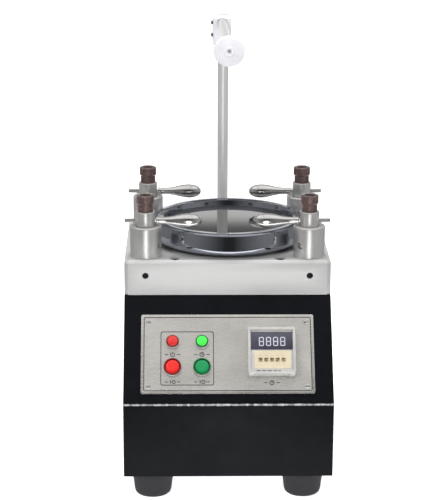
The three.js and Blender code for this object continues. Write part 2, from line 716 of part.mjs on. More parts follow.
function platenDrive() {
  const bearing = (bottom) => tube(SPINDLE_RADIUS + GAP, BEARING_RADIUS, bottom,
    bottom + BEARING_WIDTH);
  const eccentricBearing = tube(JOURNAL_RADIUS + GAP, CUP_BORE - GAP, CUP_FLOOR + 0.5, CUP_TOP - 2);
  const recessFloor = PLATEN_TOP - RECESS_DEPTH;
  const turning = groupOf(
    mesh("platen_shaft", platenShaft(), MATERIALS.gearSteel),
    mesh("platen", platen(), MATERIALS.chrome),
    mesh("mirror_plate", bar(RECESS_RADIUS - GAP, recessFloor + GAP,
      recessFloor + GAP + MIRROR_THICKNESS, PLATEN_ROUND), MATERIALS.mirror),
    mesh("eccentric_bearing", eccentricBearing, MATERIALS.gearSteel),
  );
  turning.position.x = ECCENTRICITY;
  const drive = groupOf(
    mesh("spindle_housing", spindleHousing(), MATERIALS.machinedAluminium),
    mesh("upper_bearing", bearing(UPPER_BEARING_Z), MATERIALS.gearSteel),
    mesh("lower_bearing", bearing(LOWER_BEARING_Z), MATERIALS.gearSteel),
    mesh("crank_spindle", crankSpindle(), MATERIALS.gearSteel),
    mesh("ring_gear", ringGear(), MATERIALS.gearSteel),
    turning,
  );
  drive.position.set(0, CENTRE_Y, BLOCK_TOP);
  return drive;
}

// ---------------------------------------------------------------- belt drive

function pulley(radius, boreRadius) {
  const half = BELT_WIDTH / 2 + 0.6;
  const lip = radius + BELT_THICKNESS + 1;
  return turnedRing([
    [boreRadius, -half - 1.4], [lip, -half - 1.4], [lip, -half], [radius, -half],
    [radius, half], [lip, half], [lip, half + 1.4], [boreRadius, half + 1.4],
  ], SMALL_ROUND);
}

// The belt's outline round both pulleys, at a distance outside their running surfaces.
function beltOutline(offset) {
  const large = SPINDLE_PULLEY_RADIUS + offset;
  const small = MOTOR_PULLEY_RADIUS + offset;
  const lean = Math.asin((large - small) / Math.abs(MOTOR_X));
  const quarter = Math.PI / 2;
  const outline = new THREE.Shape();
  outline.absarc(0, 0, large, -quarter - lean, quarter + lean);
  outline.absarc(MOTOR_X, 0, small, quarter + lean, 3 * quarter - lean);
  return outline;
}

function beltDrive() {
  const belt = beltOutline(GAP + BELT_THICKNESS);
  belt.holes = [beltOutline(GAP)];
  const half = MOTOR_SIZE / 2;
  const leg = half + 1;
  const bracketBottom = MOTOR_TOP + GAP;
  const bracketTop = bracketBottom + MOTOR_BRACKET_SHEET;
  const outer = leg + MOTOR_BRACKET_SHEET;
  const floor = FOOT_HEIGHT + BASE_SHEET + GAP;
  const archOutline = polygon([
    [-outer, floor], [-leg, floor], [-leg, bracketBottom], [leg, bracketBottom],
    [leg, floor], [outer, floor], [outer, bracketTop], [-outer, bracketTop],
  ]);
  const arch = subtract(uprightSlab(archOutline, -half, half),
    bar(10, MOTOR_TOP - 1, bracketTop + 1, SMALL_ROUND));
  const motorBody = subtract(
    slab(roundedRectangle(MOTOR_SIZE, MOTOR_SIZE, 6), MOTOR_BOTTOM, MOTOR_TOP),
    bar(MOTOR_SHAFT_RADIUS + GAP, MOTOR_TOP - 20, MOTOR_TOP + 1),
  );
  const motorPulley = unite(
    pulley(MOTOR_PULLEY_RADIUS, MOTOR_SHAFT_RADIUS - 1).translate(0, 0, PULLEY_Z),
    bar(MOTOR_SHAFT_RADIUS, MOTOR_TOP - 18, PULLEY_Z + 7),
  );
  const spindlePulley = pulley(SPINDLE_PULLEY_RADIUS, SPINDLE_RADIUS + GAP);
  const motorGroup = groupOf(
    mesh("motor", motorBody, MATERIALS.darkSteel),
    mesh("motor_bracket", arch, MATERIALS.zincSteel),
    mesh("motor_pulley", motorPulley, MATERIALS.zincSteel),
  );
  motorGroup.position.x = MOTOR_X;
  const drive = groupOf(
    mesh("spindle_pulley", spindlePulley.translate(0, 0, PULLEY_Z), MATERIALS.zincSteel),
    mesh("drive_belt", slab(belt, PULLEY_Z - BELT_WIDTH / 2, PULLEY_Z + BELT_WIDTH / 2, 10),
      MATERIALS.beltRubber),
    motorGroup,
  );
  drive.position.y = CENTRE_Y;
  return groupOf(drive, mesh("power_supply", powerSupply(floor), MATERIALS.zincSteel));
}

// The motor's power supply: a closed box on four round standoffs.
function powerSupply(floor) {
  const bottom = floor + SUPPLY_LIFT;
  const box = boxBetween([...SUPPLY_LOW, bottom], [...SUPPLY_HIGH, bottom + SUPPLY_HEIGHT]);
  const standoffs = [];
  for (const x of [SUPPLY_LOW[0] + STANDOFF_INSET, SUPPLY_HIGH[0] - STANDOFF_INSET]) {
    for (const y of [SUPPLY_LOW[1] + STANDOFF_INSET, SUPPLY_HIGH[1] - STANDOFF_INSET]) {
      standoffs.push(bar(STANDOFF_RADIUS, floor, bottom + 1).translate(x, y, 0));
    }
  }
  return unite(box, ...standoffs);
}

// ---------------------------------------------------------------- corner posts

function postBase(screwAngle) {
  const body = turned([
    [0, -SHANK_DEPTH], [SHANK_RADIUS, -SHANK_DEPTH], [SHANK_RADIUS, GAP],
    [POST_RADIUS - 0.6, GAP], [POST_RADIUS, GAP + 0.6],
    [POST_RADIUS, POST_HEIGHT - 0.8], [POST_RADIUS - 0.8, POST_HEIGHT], [0, POST_HEIGHT],
  ]);
  const socket = bar(SPIGOT_RADIUS + GAP, POST_HEIGHT - SPIGOT_DEPTH, POST_HEIGHT + 1,
    SMALL_ROUND);
  const screwHole = bar(POST_SCREW_RADIUS, 0, 2 * POST_RADIUS).rotateY(Math.PI / 2);
  screwHole.rotateZ(screwAngle).translate(0, 0, POST_SCREW_Z);
  return subtract(body, socket, screwHole);
}

function postHead() {
  const bottom = POST_HEIGHT + GAP;
  const body = turned([
    [0, bottom - SPIGOT_DEPTH + 1], [SPIGOT_RADIUS, bottom - SPIGOT_DEPTH + 1],
    [SPIGOT_RADIUS, bottom], [HEAD_RADIUS, bottom], [HEAD_RADIUS, HEAD_TOP - 0.5],
    [HEAD_RADIUS - 0.5, HEAD_TOP], [0, HEAD_TOP],
  ], SMALL_ROUND);
  const studHole = bar(STUD_RADIUS + GAP, -2 * HEAD_RADIUS, 2 * HEAD_RADIUS);
  studHole.rotateY(Math.PI / 2).translate(0, 0, LEVER_Z);
  const knobHole = bar(KNOB_SHANK_RADIUS + GAP, LEVER_Z + 4, HEAD_TOP + 1);
  return subtract(body, studHole, knobHole);
}

// The handle with the stud that carries it through the head; X runs out along the handle.
function lever() {
  const swell = new THREE.SplineCurve([
    [LEVER_SHOULDER, 3.6], [20, 3.7], [28, 4.9], [36, 6.7], [42.5, 7.35],
    [48.5, 6.9], [53.5, 5.3], [56.4, 3.3],
  ].map(([x, radius]) => new THREE.Vector2(radius, x)));
  const outline = [
    [0, -STUD_REACH], [STUD_RADIUS - 0.5, -STUD_REACH], [STUD_RADIUS, 0.6 - STUD_REACH],
    [STUD_RADIUS, LEVER_SHOULDER],
    ...swell.getPoints(9).map(({ x, y }) => [x, y]),
    [1.6, LEVER_REACH - 0.2], [0, LEVER_REACH],
  ];
  return turned(outline, TINY_ROUND).rotateY(Math.PI / 2).translate(0, 0, LEVER_Z);
}

function knob() {
  const bottom = HEAD_TOP + GAP;
  const mouth = KNOB_MOUTH_RADIUS;
  const floor = KNOB_TOP - KNOB_MOUTH_DEPTH;
  return turned([
    [0, LEVER_Z + 4.6], [KNOB_SHANK_RADIUS, LEVER_Z + 4.6], [KNOB_SHANK_RADIUS, bottom],
    [KNOB_WAIST_RADIUS, bottom], [KNOB_WAIST_RADIUS, KNOB_FLANGE_Z - 0.6],
    [KNOB_FLANGE_RADIUS, KNOB_FLANGE_Z + 0.3], [KNOB_FLANGE_RADIUS, KNOB_TOP - 0.6],
    [KNOB_FLANGE_RADIUS - 0.6, KNOB_TOP], [mouth, KNOB_TOP], [mouth - 0.6, floor], [0, floor],
  ], SMALL_ROUND);
}

// Directions of the small screw in each post, in degrees from +X.
const POST_SCREW_ANGLES = {
  front_left: -29, front_right: -129, rear_left: 29, rear_right: 129,
};

function cornerPosts() {
  const posts = Object.entries(POST_PLACES).map(([corner, [x, y]]) => {
    const handle = mesh(`lever_${corner}`, lever(), MATERIALS.polishedSteel);
    handle.rotation.z = x < 0 ? 0 : Math.PI; // every handle points inwards
    const angle = THREE.MathUtils.degToRad(POST_SCREW_ANGLES[corner]);
    const post = groupOf(
      mesh(`post_base_${corner}`, postBase(angle), MATERIALS.brushedSteel),
      mesh(`post_head_${corner}`, postHead(), MATERIALS.brushedSteel),
      handle,
      mesh(`knob_${corner}`, knob(), MATERIALS.bronze),
    );
    post.position.set(x, y, BLOCK_TOP);
    return post;
  });
  return groupOf(...posts);
}

// ---------------------------------------------------------------- cable stand

function rodBracket() {
  const [width, depth, height] = BRACKET_SIZE;
  const outline = roundedRectangle(width, height, 2, [ROD_PLACE[0], BLOCK_TOP - 1 - height / 2]);
  const block = uprightSlab(outline, BACK_Y + GAP, BACK_Y + GAP + depth);
  const socket = bar(ROD_RADIUS + GAP, BLOCK_TOP - height + 2.5, BLOCK_TOP + 1, SMALL_ROUND);
  return subtract(block, socket.translate(...ROD_PLACE, 0));
}

// The clamp, arm and disc in their own frame: Z is the rod's axis and -Y runs along the arm.
function standTop() {
  const [width, depth, height] = CLAMP_SIZE;
  const block = slab(roundedRectangle(width, depth, 1, [ARM_OFFSET, CLAMP_BEHIND - depth / 2]),
    CLAMP_BOTTOM, CLAMP_BOTTOM + height, 3);
  const rodHole = bar(ROD_RADIUS + GAP, CLAMP_BOTTOM - 1, CLAMP_BOTTOM + height + 1, SMALL_ROUND);
  const alongArm = (geometry) => geometry.rotateX(Math.PI / 2).translate(ARM_OFFSET, 0, ARM_Z);
  const armHole = alongArm(bar(ARM_RADIUS + GAP, ARM_START, depth, SMALL_ROUND));
  const armEnd = DISC_FRONT - 4;
  const screwBore = DISC_SCREW_RADIUS + GAP;
  const armRod = bar(ARM_RADIUS, ARM_START + GAP, armEnd - GAP, SMALL_ROUND);
  const arm = alongArm(subtract(armRod, bar(screwBore, armEnd - 12, armEnd + 1)));
  const discBack = DISC_FRONT - DISC_THICKNESS;
  const screwHead = DISC_SCREW_RADIUS + 0.6;
  const disc = alongArm(turnedRing([
    [screwBore, armEnd], [ARM_RADIUS + GAP, armEnd], [ARM_RADIUS + GAP, discBack],
    [DISC_RADIUS - 1, discBack], [DISC_RADIUS, discBack + 1], [DISC_RADIUS, DISC_FRONT - 2.2],
    [DISC_RADIUS - 1.4, DISC_FRONT - 1], [HUB_RADIUS, DISC_FRONT - 1],
    [HUB_RADIUS - 0.4, DISC_FRONT], [screwHead + GAP, DISC_FRONT],
    [screwHead + GAP, DISC_FRONT - 1.4], [screwBore, DISC_FRONT - 1.4],
  ]));
  const screw = alongArm(turned([
    [0, armEnd - 10], [DISC_SCREW_RADIUS, armEnd - 10], [DISC_SCREW_RADIUS, DISC_FRONT - 1.1],
    [screwHead, DISC_FRONT - 1.1], [screwHead, DISC_FRONT - 0.2], [0, DISC_FRONT - 0.2],
  ], TINY_ROUND));
  return groupOf(
    mesh("stand_clamp", subtract(block, rodHole, armHole), MATERIALS.whitePlastic),
    mesh("stand_arm", arm, MATERIALS.polishedSteel),
    mesh("stand_disc", disc, MATERIALS.whitePlastic),
    mesh("disc_screw", screw, MATERIALS.darkSteel),
  );
}

function cableStand() {
  const rod = turned([
    [0, ROD_BOTTOM], [ROD_RADIUS, ROD_BOTTOM], [ROD_RADIUS, ROD_TOP - 0.6],
    [ROD_RADIUS - 0.6, ROD_TOP], [0, ROD_TOP],
  ], SMALL_ROUND);
  const top = standTop();
  top.rotation.z = ARM_TURN;
  const standing = groupOf(mesh("stand_rod", rod, MATERIALS.polishedSteel), top);
  standing.position.set(...ROD_PLACE, BLOCK_TOP);
  return groupOf(standing, mesh("rod_bracket", rodBracket(), MATERIALS.machinedAluminium));
}

// ---------------------------------------------------------------- whole machine

export default groupOf(
  cabinet(),
  controlPanel(),
  mesh("top_block", topBlock(), MATERIALS.machinedAluminium),
  platenDrive(),
  beltDrive(),
  cornerPosts(),
  cableStand(),
);
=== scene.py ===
"""The looks of a bench polishing machine with four corner pressure posts."""

import json
import logging
import math
from collections.abc import Callable
from dataclasses import dataclass
from enum import Enum

import bmesh
import bpy
from mathutils import Matrix, Vector


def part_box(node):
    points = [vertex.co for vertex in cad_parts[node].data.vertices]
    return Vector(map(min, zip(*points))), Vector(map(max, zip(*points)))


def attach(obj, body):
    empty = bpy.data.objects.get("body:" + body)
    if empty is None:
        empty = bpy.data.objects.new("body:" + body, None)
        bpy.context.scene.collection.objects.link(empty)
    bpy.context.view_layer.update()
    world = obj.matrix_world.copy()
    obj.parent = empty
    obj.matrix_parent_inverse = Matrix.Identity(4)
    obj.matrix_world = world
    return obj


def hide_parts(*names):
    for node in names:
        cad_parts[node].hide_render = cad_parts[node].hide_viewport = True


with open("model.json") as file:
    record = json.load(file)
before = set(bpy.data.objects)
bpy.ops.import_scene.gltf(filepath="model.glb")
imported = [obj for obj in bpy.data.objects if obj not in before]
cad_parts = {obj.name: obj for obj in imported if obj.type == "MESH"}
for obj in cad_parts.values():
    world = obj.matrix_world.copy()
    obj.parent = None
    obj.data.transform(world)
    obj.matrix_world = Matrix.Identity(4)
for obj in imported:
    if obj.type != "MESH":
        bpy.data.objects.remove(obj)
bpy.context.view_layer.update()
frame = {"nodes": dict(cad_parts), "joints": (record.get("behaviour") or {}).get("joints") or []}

MM = 0.001
TURNED_STEPS = 96
SMALL_STEPS = 40
WHEELS = range(1, 6)  # the timer's digit wheels, from the left
CLEARANCE = 0.05  # gap between pieces that rest on each other, in millimetres
PLATE_THICKNESS = 1.5
ARM_LEAN = 0.9  # how far the arm points aside, in degrees
# Each corner and the way its post's side screw faces, in degrees from +X.
CORNERS = {"front_left": -29.0, "front_right": -129.0, "rear_left": 29.0, "rear_right": 129.0}

Colour = tuple[float, float, float]
Point = tuple[float, float, float]
log = logging.getLogger("polisher")


# ---------------------------------------------------------------- shader maths


class Wire:
    """A shader socket that takes part in arithmetic: each operation adds a Math node."""

    def __init__(self, tree: "Nodes", socket: bpy.types.NodeSocket) -> None:
        """Keeps the socket and the nodes that it belongs to."""
        self.tree = tree
        self.socket = socket

    def _with(self, operation: str, first: "Wire | float", second: "Wire | float") -> "Wire":
        """Adds one Math node."""
        return self.tree.node("ShaderNodeMath", {"operation": operation}, {0: first, 1: second})

    def __add__(self, other: "Wire | float") -> "Wire":
        """Sum."""
        return self._with("ADD", self, other)

    __radd__ = __add__

    def __mul__(self, other: "Wire | float") -> "Wire":
        """Product."""
        return self._with("MULTIPLY", self, other)

    __rmul__ = __mul__


class Nodes:
    """Adds nodes to one node tree, which starts empty."""

    def __init__(self, tree: bpy.types.NodeTree) -> None:
        """Empties the tree."""
        self.tree = tree
        tree.nodes.clear()

    def _plug(self, socket: bpy.types.NodeSocket, value: "Wire | float | tuple") -> None:
        """Links a wire to a socket, or sets a constant on it.

        Args:
            socket: the input to fill.
            value: a wire, a number, or a colour with or without its alpha.
        """
        if isinstance(value, Wire):
            self.tree.links.new(value.socket, socket)
        elif isinstance(value, tuple) and len(value) < len(socket.default_value):
            socket.default_value = (*value, 1.0)
        else:
            socket.default_value = value

    def node(self, kind: str, settings: dict | None = None, inputs: dict | None = None,
             output: int | str = 0) -> Wire:
        """Adds any node.

        Args:
            kind: the node's type.
            settings: properties set on the node before its sockets.
            inputs: socket name or number to a value or a wire.
            output: which output to hand back.

        Returns:
            The chosen output as a wire.
        """
        made = self.tree.nodes.new(kind)
        for key, value in (settings or {}).items():
            setattr(made, key, value)
        for key, value in (inputs or {}).items():
            self._plug(made.inputs[key], value)
        return Wire(self, made.outputs[output])

    def where(self, stretch: Point = (1.0, 1.0, 1.0)) -> Wire:
        """Object coordinates in metres, each direction scaled by its stretch."""
        place = self.node("ShaderNodeTexCoord", output="Object")
        return self.node("ShaderNodeMapping", inputs={"Vector": place, "Scale": Vector(stretch)})

    def noise(self, size: float, detail: float = 2.0, stretch: Point = (1.0, 1.0, 1.0)) -> Wire:
        """Smooth random values from 0 to 1, with features of the given size in millimetres."""
        inputs = {"Vector": self.where(stretch), "Scale": 1 / (size * MM), "Detail": detail}
        return self.node("ShaderNodeTexNoise", inputs=inputs)

    def spread(self, value: Wire, low: float, high: float, to_low: float = 0.0,
               to_high: float = 1.0) -> Wire:
        """Maps one range onto another and clamps the result."""
        return self.node("ShaderNodeMapRange", inputs={
            "Value": value, "From Min": low, "From Max": high, "To Min": to_low, "To Max": to_high})

    def blend(self, share: Wire, first: "Wire | Colour", second: "Wire | Colour") -> Wire:
        """Mixes two colours, the second one by its share."""
        return self.node("ShaderNodeMix", {"data_type": "RGBA"}, {0: share, 6: first, 7: second}, 2)

    def show(self, kind: str, result: Wire) -> None:
        """Ends the tree with an output node that takes the result."""
        output = self.tree.nodes.new(kind)
        self.tree.links.new(result.socket, output.inputs[0])


class Shader(Nodes):
    """Builds the nodes of one material round a Principled surface."""

    def __init__(self, name: str) -> None:
        """Starts the material.

        Args:
            name: the material's name.
        """
        self.material = bpy.data.materials.new(name)
        self.material.use_nodes = True
        super().__init__(self.material.node_tree)
        self.surface = self.tree.nodes.new("ShaderNodeBsdfPrincipled")
        self.show("ShaderNodeOutputMaterial", Wire(self, self.surface.outputs[0]))

    def feed(self, **values: "Wire | float | Colour") -> None:
        """Sets the surface's sockets, an underscore in a name standing for a space."""
        for key, value in values.items():
            self._plug(self.surface.inputs[key.replace("_", " ")], value)

    def bump(self, height: Wire, depth: float) -> None:
        """Gives the surface relief of the given depth in millimetres."""
        inputs = {"Height": height, "Distance": depth * MM, "Strength": 1.0}
        self.feed(Normal=self.node("ShaderNodeBump", inputs=inputs))


# ---------------------------------------------------------------- finishes


class Grain(Enum):
    """Which way a metal's tool marks run: how fast they change along X, Y and Z."""

    ACROSS = (0.03, 1.0, 1.0)
    ROUND_UPRIGHT = (0.02, 0.02, 1.0)
    ROUND_LEVEL = (1.0, 0.02, 0.02)
    ROUND_DEEP = (0.02, 1.0, 0.02)
    EVEN = (1.0, 1.0, 1.0)


@dataclass(frozen=True)
class Finish:
    """What every finish shares: a name, and one material made on first use."""

    name: str
    colour: Colour
    shade: Colour
    roughness: float

    def material(self) -> bpy.types.Material:
        """The finish's material, made once."""
        return bpy.data.materials.get(self.name) or self.make(Shader(self.name))

    def make(self, shader: Shader) -> bpy.types.Material:
        """Builds the nodes; each kind of finish has its own."""
        raise NotImplementedError


@dataclass(frozen=True)
class Metal(Finish):
    """Bare or plated metal with fine tool marks and faint clouding."""

    grain: Grain = Grain.EVEN
    mark_size: float = 0.4
    mark_depth: float = 0.003
    cloud_size: float = 25.0
    metallic: float = 1.0

    def make(self, shader: Shader) -> bpy.types.Material:
        """Builds the nodes.

        Args:
            shader: the new material's empty shader.

        Returns:
            The material.
        """
        marks = shader.noise(self.mark_size, 3.0, self.grain.value)
        cloud = shader.noise(self.cloud_size, 3.0)
        tone = shader.spread(marks * 0.5 + cloud * 0.5, 0.36, 0.64)
        rough = shader.spread(marks * 0.5 + cloud * 0.5, 0.3, 0.7, self.roughness * 0.88,
                              self.roughness * 1.14)
        shader.feed(Base_Color=shader.blend(tone, self.shade, self.colour), Roughness=rough,
                    Metallic=self.metallic)
        shader.bump(marks, self.mark_depth)
        return shader.material


@dataclass(frozen=True)
class Moulded(Finish):
    """Plastic or rubber with a fine moulded texture."""

    texture_size: float = 0.5
    texture_depth: float = 0.02
    gloss: float = 0.5
    coat: float = 0.0
    glow: float = 0.0

    def make(self, shader: Shader) -> bpy.types.Material:
        """Builds the nodes.

        Args:
            shader: the new material's empty shader.

        Returns:
            The material.
        """
        texture = shader.noise(self.texture_size, 2.0)
        cloud = shader.spread(shader.noise(9.0, 3.0), 0.35, 0.65)
        colour = shader.blend(cloud, self.shade, self.colour)
        rough = shader.spread(shader.noise(4.0, 4.0), 0.3, 0.7, self.roughness * 0.8,
                              self.roughness * 1.2)
        shader.feed(Base_Color=colour, Roughness=rough, Coat_Weight=self.coat,
                    Specular_IOR_Level=self.gloss)
        if self.glow:
            shader.feed(Emission_Color=colour, Emission_Strength=self.glow)
        shader.bump(texture, self.texture_depth)
        return shader.material


@dataclass(frozen=True)
class SheetPaint(Finish):
    """Powder-coated sheet, faintly mottled, with a pale line along one fold that is worn paint and
    also a painted highlight.
    """

    wear_and_highlight: Colour = (0.6, 0.61, 0.62)
    fold: Point = (0.0, 0.0, 0.0)
    wear_and_highlight_full: float = 0.0004
    wear_and_highlight_fade: float = 0.0013
    ragged: float = 0.0004

    def make(self, shader: Shader) -> bpy.types.Material:
        """Builds the nodes.

        Args:
            shader: the new material's empty shader.

        Returns:
            The material.
        """
        peel = shader.noise(0.9, 2.0)
        mottle = shader.spread(shader.noise(14.0, 5.0), 0.35, 0.7)
        reach = shader.node("ShaderNodeVectorMath", {"operation": "DISTANCE"},
                            {0: shader.where((0.0, 1.0, 1.0)), 1: Vector(self.fold)}, "Value")
        ragged = shader.spread(shader.noise(3.0, 4.0, (1.0, 0.4, 0.4)), 0.3, 0.7, -self.ragged,
                               self.ragged)
        # The pale line along the fold is worn paint and also a painted highlight of the rounded
        # fold.
        near = shader.spread(reach + ragged, self.wear_and_highlight_full, self.wear_and_highlight_fade, 1.0, 0.0)
        patches = shader.spread(shader.noise(5.0, 4.0, (1.0, 0.4, 0.4)), 0.36, 0.62, 0.42, 0.95)
        wear_and_highlight_share = near * patches
        coat = shader.blend(mottle, self.shade, self.colour)
        scuff = shader.spread(shader.noise(30.0, 6.0), 0.3, 0.75, self.roughness * 0.8,
                              self.roughness * 1.35)
        shader.feed(Base_Color=shader.blend(wear_and_highlight_share, coat, self.wear_and_highlight), Roughness=scuff,
                    Specular_IOR_Level=0.1)
        shader.bump(peel, 0.02)
        return shader.material


# ---------------------------------------------------------------- shaping


def span(node: str) -> tuple[Vector, Vector]:
    """A frame node's lowest and highest corner, in millimetres."""
    low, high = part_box(node)
    return low / MM, high / MM


def middle(node: str) -> Vector:
    """The middle of a frame node's box, in millimetres."""
    low, high = span(node)
    return (low + high) / 2


def at(x: float, y: float, z: float) -> Matrix:
    """A shift."""
    return Matrix.Translation((x, y, z))


def turn(degrees: float, axis: str) -> Matrix:
    """A turn about an axis through the origin."""
    return Matrix.Rotation(math.radians(degrees), 4, axis)


class Form:
    """A piece being shaped with mesh operators, in millimetres."""

    def __init__(self) -> None:
        """Starts empty."""
        self.bm = bmesh.new()

    @classmethod
    def turned(cls, profile: list[tuple[float, float]], steps: int = TURNED_STEPS,
               closed: bool = False) -> "Form":
        """Spins a profile about Z.

        Args:
            profile: radius and height of each point.
            steps: sides round the axis.
            closed: whether the last point joins the first, as on a ring.

        Returns:
            The turned form.
        """
        form = cls()
        points = [form.bm.verts.new((radius, 0, height)) for radius, height in profile]
        pairs = list(zip(points, points[1:]))
        if closed:
            pairs.append((points[-1], points[0]))
        edges = [form.bm.edges.new(pair) for pair in pairs]
        bmesh.ops.spin(form.bm, geom=points + edges, cent=(0, 0, 0), axis=(0, 0, 1),
                       dvec=(0, 0, 0), angle=math.tau, steps=steps, use_merge=True)
        return form.mended()

    @classmethod
    def arc(cls, radius: float, width: float, height: float, start: float = 0.0,
            sweep: float = 360.0) -> "Form":
        """Bends a flat stroke round the origin.

        Args:
            radius: to the middle of the stroke.
            width: the stroke's width.
            height: the stroke's thickness.
            start: where it starts, in degrees from +X.
            sweep: how far round it goes, in degrees.

        Returns:
            The stroke, closed on itself where it goes all the way round.
        """
        form = cls()
        inner, outer = radius - width / 2, radius + width / 2
        corners = [(inner, 0), (outer, 0), (outer, height), (inner, height)]
        points = [form.bm.verts.new((reach, 0, z)) for reach, z in corners]
        face = form.bm.faces.new(points)
        full = sweep >= 360
        ends = [] if full else [face]
        if full:
            bmesh.ops.delete(form.bm, geom=[face], context="FACES_ONLY")
        bmesh.ops.spin(form.bm, geom=points + list(form.bm.edges) + ends, cent=(0, 0, 0),
                       axis=(0, 0, 1), dvec=(0, 0, 0), angle=math.radians(sweep),
                       steps=max(6, round(sweep / 15)), use_merge=full)
        return form.mended().move(turn(start, "Z"))

    @classmethod
    def slab(cls, outline: list[tuple[float, float]], low: float, high: float) -> "Form":
        """Pushes an outline up from one height to another.

        Args:
            outline: the (x, y) points in order.
            low: the bottom's height.
            high: the top's height.

        Returns:
            The slab.
        """
        form = cls()
        face = form.bm.faces.new([form.bm.verts.new((x, y, low)) for x, y in outline])
        return form._raised([face], high - low)

    @classmethod
    def plate(cls, width: float, height: float, radius: float, low: float, high: float,
              centre: tuple[float, float] = (0.0, 0.0), segments: int = 6) -> "Form":
        """A plate with round corners.

        Args:
            width: size along X.
            height: size along Y.
            radius: of the corners, 0 for square ones.
            low: the bottom's height.
            high: the top's height.
            centre: where its middle is.
            segments: how many sides each round corner has.

        Returns:
            The plate.
        """
        form = cls()
        bmesh.ops.create_grid(form.bm, x_segments=1, y_segments=1, size=0.5)
        form.move(at(*centre, low) @ Matrix.Diagonal((width, height, 1, 1)))
        if radius:
            bmesh.ops.bevel(form.bm, geom=form.bm.verts[:], offset=radius, segments=segments,
                            profile=0.5, affect="VERTICES", material=-1)
        return form._raised(form.bm.faces[:], high - low)

    @classmethod
    def box(cls, low: Point, high: Point) -> "Form":
        """A box between two corners.

        Args:
            low: the lowest corner.
            high: the highest corner.

        Returns:
            The box.
        """
        size = [top - bottom for bottom, top in zip(low, high)]
        centre = [(top + bottom) / 2 for bottom, top in zip(low, high)]
        form = cls()
        bmesh.ops.create_cube(form.bm, size=1.0)
        return form.move(at(*centre) @ Matrix.Diagonal((*size, 1)))

    @classmethod
    def rod(cls, radius: float, low: float, high: float, sides: int = SMALL_STEPS) -> "Form":
        """A round or many-sided bar along Z.

        Args:
            radius: to its corners.
            low: the bottom's height.
            high: the top's height.
            sides: how many sides it has.

        Returns:
            The bar.
        """
        form = cls()
        bmesh.ops.create_cone(form.bm, cap_ends=True, segments=sides, radius1=radius,
                              radius2=radius, depth=high - low)
        return form.move(at(0, 0, (low + high) / 2))

    def _raised(self, faces: list[bmesh.types.BMFace], height: float) -> "Form":
        """Gives flat faces a height.

        Args:
            faces: the faces to push up.
            height: how far.

        Returns:
            This form.
        """
        made = bmesh.ops.extrude_face_region(self.bm, geom=faces)
        tops = [part for part in made["geom"] if isinstance(part, bmesh.types.BMVert)]
        bmesh.ops.translate(self.bm, verts=tops, vec=(0, 0, height))
        return self.mended()

    def mended(self) -> "Form":
        """Merges doubled points and turns every face outwards.

        Returns:
            This form.
        """
        bmesh.ops.remove_doubles(self.bm, verts=self.bm.verts[:], dist=1e-4)
        bmesh.ops.recalc_face_normals(self.bm, faces=self.bm.faces[:])
        return self

    def move(self, matrix: Matrix) -> "Form":
        """Moves, turns or scales the form."""
        bmesh.ops.transform(self.bm, matrix=matrix, verts=self.bm.verts[:])
        return self

    def soften(self, width: float, segments: int = 2, angle: float = 28.0) -> "Form":
        """Rounds every edge that is sharper than an angle.

        Args:
            width: how far the rounding reaches.
            segments: its steps.
            angle: the least angle between two faces, in degrees.

        Returns:
            This form.
        """
        limit = math.radians(angle)
        edges = [edge for edge in self.bm.edges if edge.calc_face_angle(0) > limit]
        bmesh.ops.bevel(self.bm, geom=edges, offset=width, segments=segments, profile=0.5,
                        affect="EDGES", clamp_overlap=True, material=-1)
        return self

    def edges_where(self, chosen: Callable[[Vector, Vector], bool]) -> list[bmesh.types.BMEdge]:
        """Finds edges.

        Args:
            chosen: takes an edge's middle and direction, and says whether to pick it.

        Returns:
            The edges picked.
        """
        found = []
        for edge in self.bm.edges:
            start, end = (vert.co for vert in edge.verts)
            if chosen((start + end) / 2, (end - start).normalized()):
                found.append(edge)
        return found

    def round_edges(self, edges: list[bmesh.types.BMEdge], width: float, segments: int) -> "Form":
        """Rounds chosen edges, or chamfers them where there is one segment.

        Args:
            edges: the edges.
            width: how far the rounding reaches.
            segments: its steps.

        Returns:
            This form.
        """
        bmesh.ops.bevel(self.bm, geom=edges, offset=width, segments=segments, profile=0.5,
                        affect="EDGES", clamp_overlap=True, material=-1)
        return self

    def join(self, *others: "Form") -> "Form":
        """Takes in other forms as they lie.

        Args:
            others: the forms, which are used up.

        Returns:
            This form.
        """
        for other in others:
            mesh = bpy.data.meshes.new("joining")
            other.bm.to_mesh(mesh)
            other.bm.free()
            self.bm.from_mesh(mesh)
            bpy.data.meshes.remove(mesh)
        return self

    def _object(self, name: str) -> bpy.types.Object:
        """Puts the form in the scene, and uses it up.

        Args:
            name: the object's name.

        Returns:
            The object.
        """
        mesh = bpy.data.meshes.new(name)
        self.bm.to_mesh(mesh)
        self.bm.free()
        made = bpy.data.objects.new(name, mesh)
        bpy.context.scene.collection.objects.link(made)
        return made

    def cut(self, *tools: "Form") -> "Form":
        """Takes the tools' shapes away from this one.

        Args:
            tools: the forms to cut with, which are used up.

        Returns:
            This form.
        """
        blank, cutter = self._object("blank"), Form().join(*tools)._object("cutter")
        modifier = blank.modifiers.new("cut", "BOOLEAN")
        modifier.operation, modifier.solver, modifier.object = "DIFFERENCE", "EXACT", cutter
        shaped = blank.evaluated_get(bpy.context.evaluated_depsgraph_get())
        self.bm = bmesh.new()
        self.bm.from_mesh(shaped.to_mesh())
        for scrap in (blank, cutter):
            mesh = scrap.data
            bpy.data.objects.remove(scrap)
            bpy.data.meshes.remove(mesh)
        return self

    def paint(self, index: int, chosen: Callable[[bmesh.types.BMFace], bool]) -> "Form":
        """Gives some faces another of the piece's finishes.

        Args:
            index: the finish's place among the piece's finishes.
            chosen: takes a face and says whether it is one of them.

        Returns:
            This form.
        """
        for face in self.bm.faces:
            if chosen(face):
                face.material_index = index
        return self

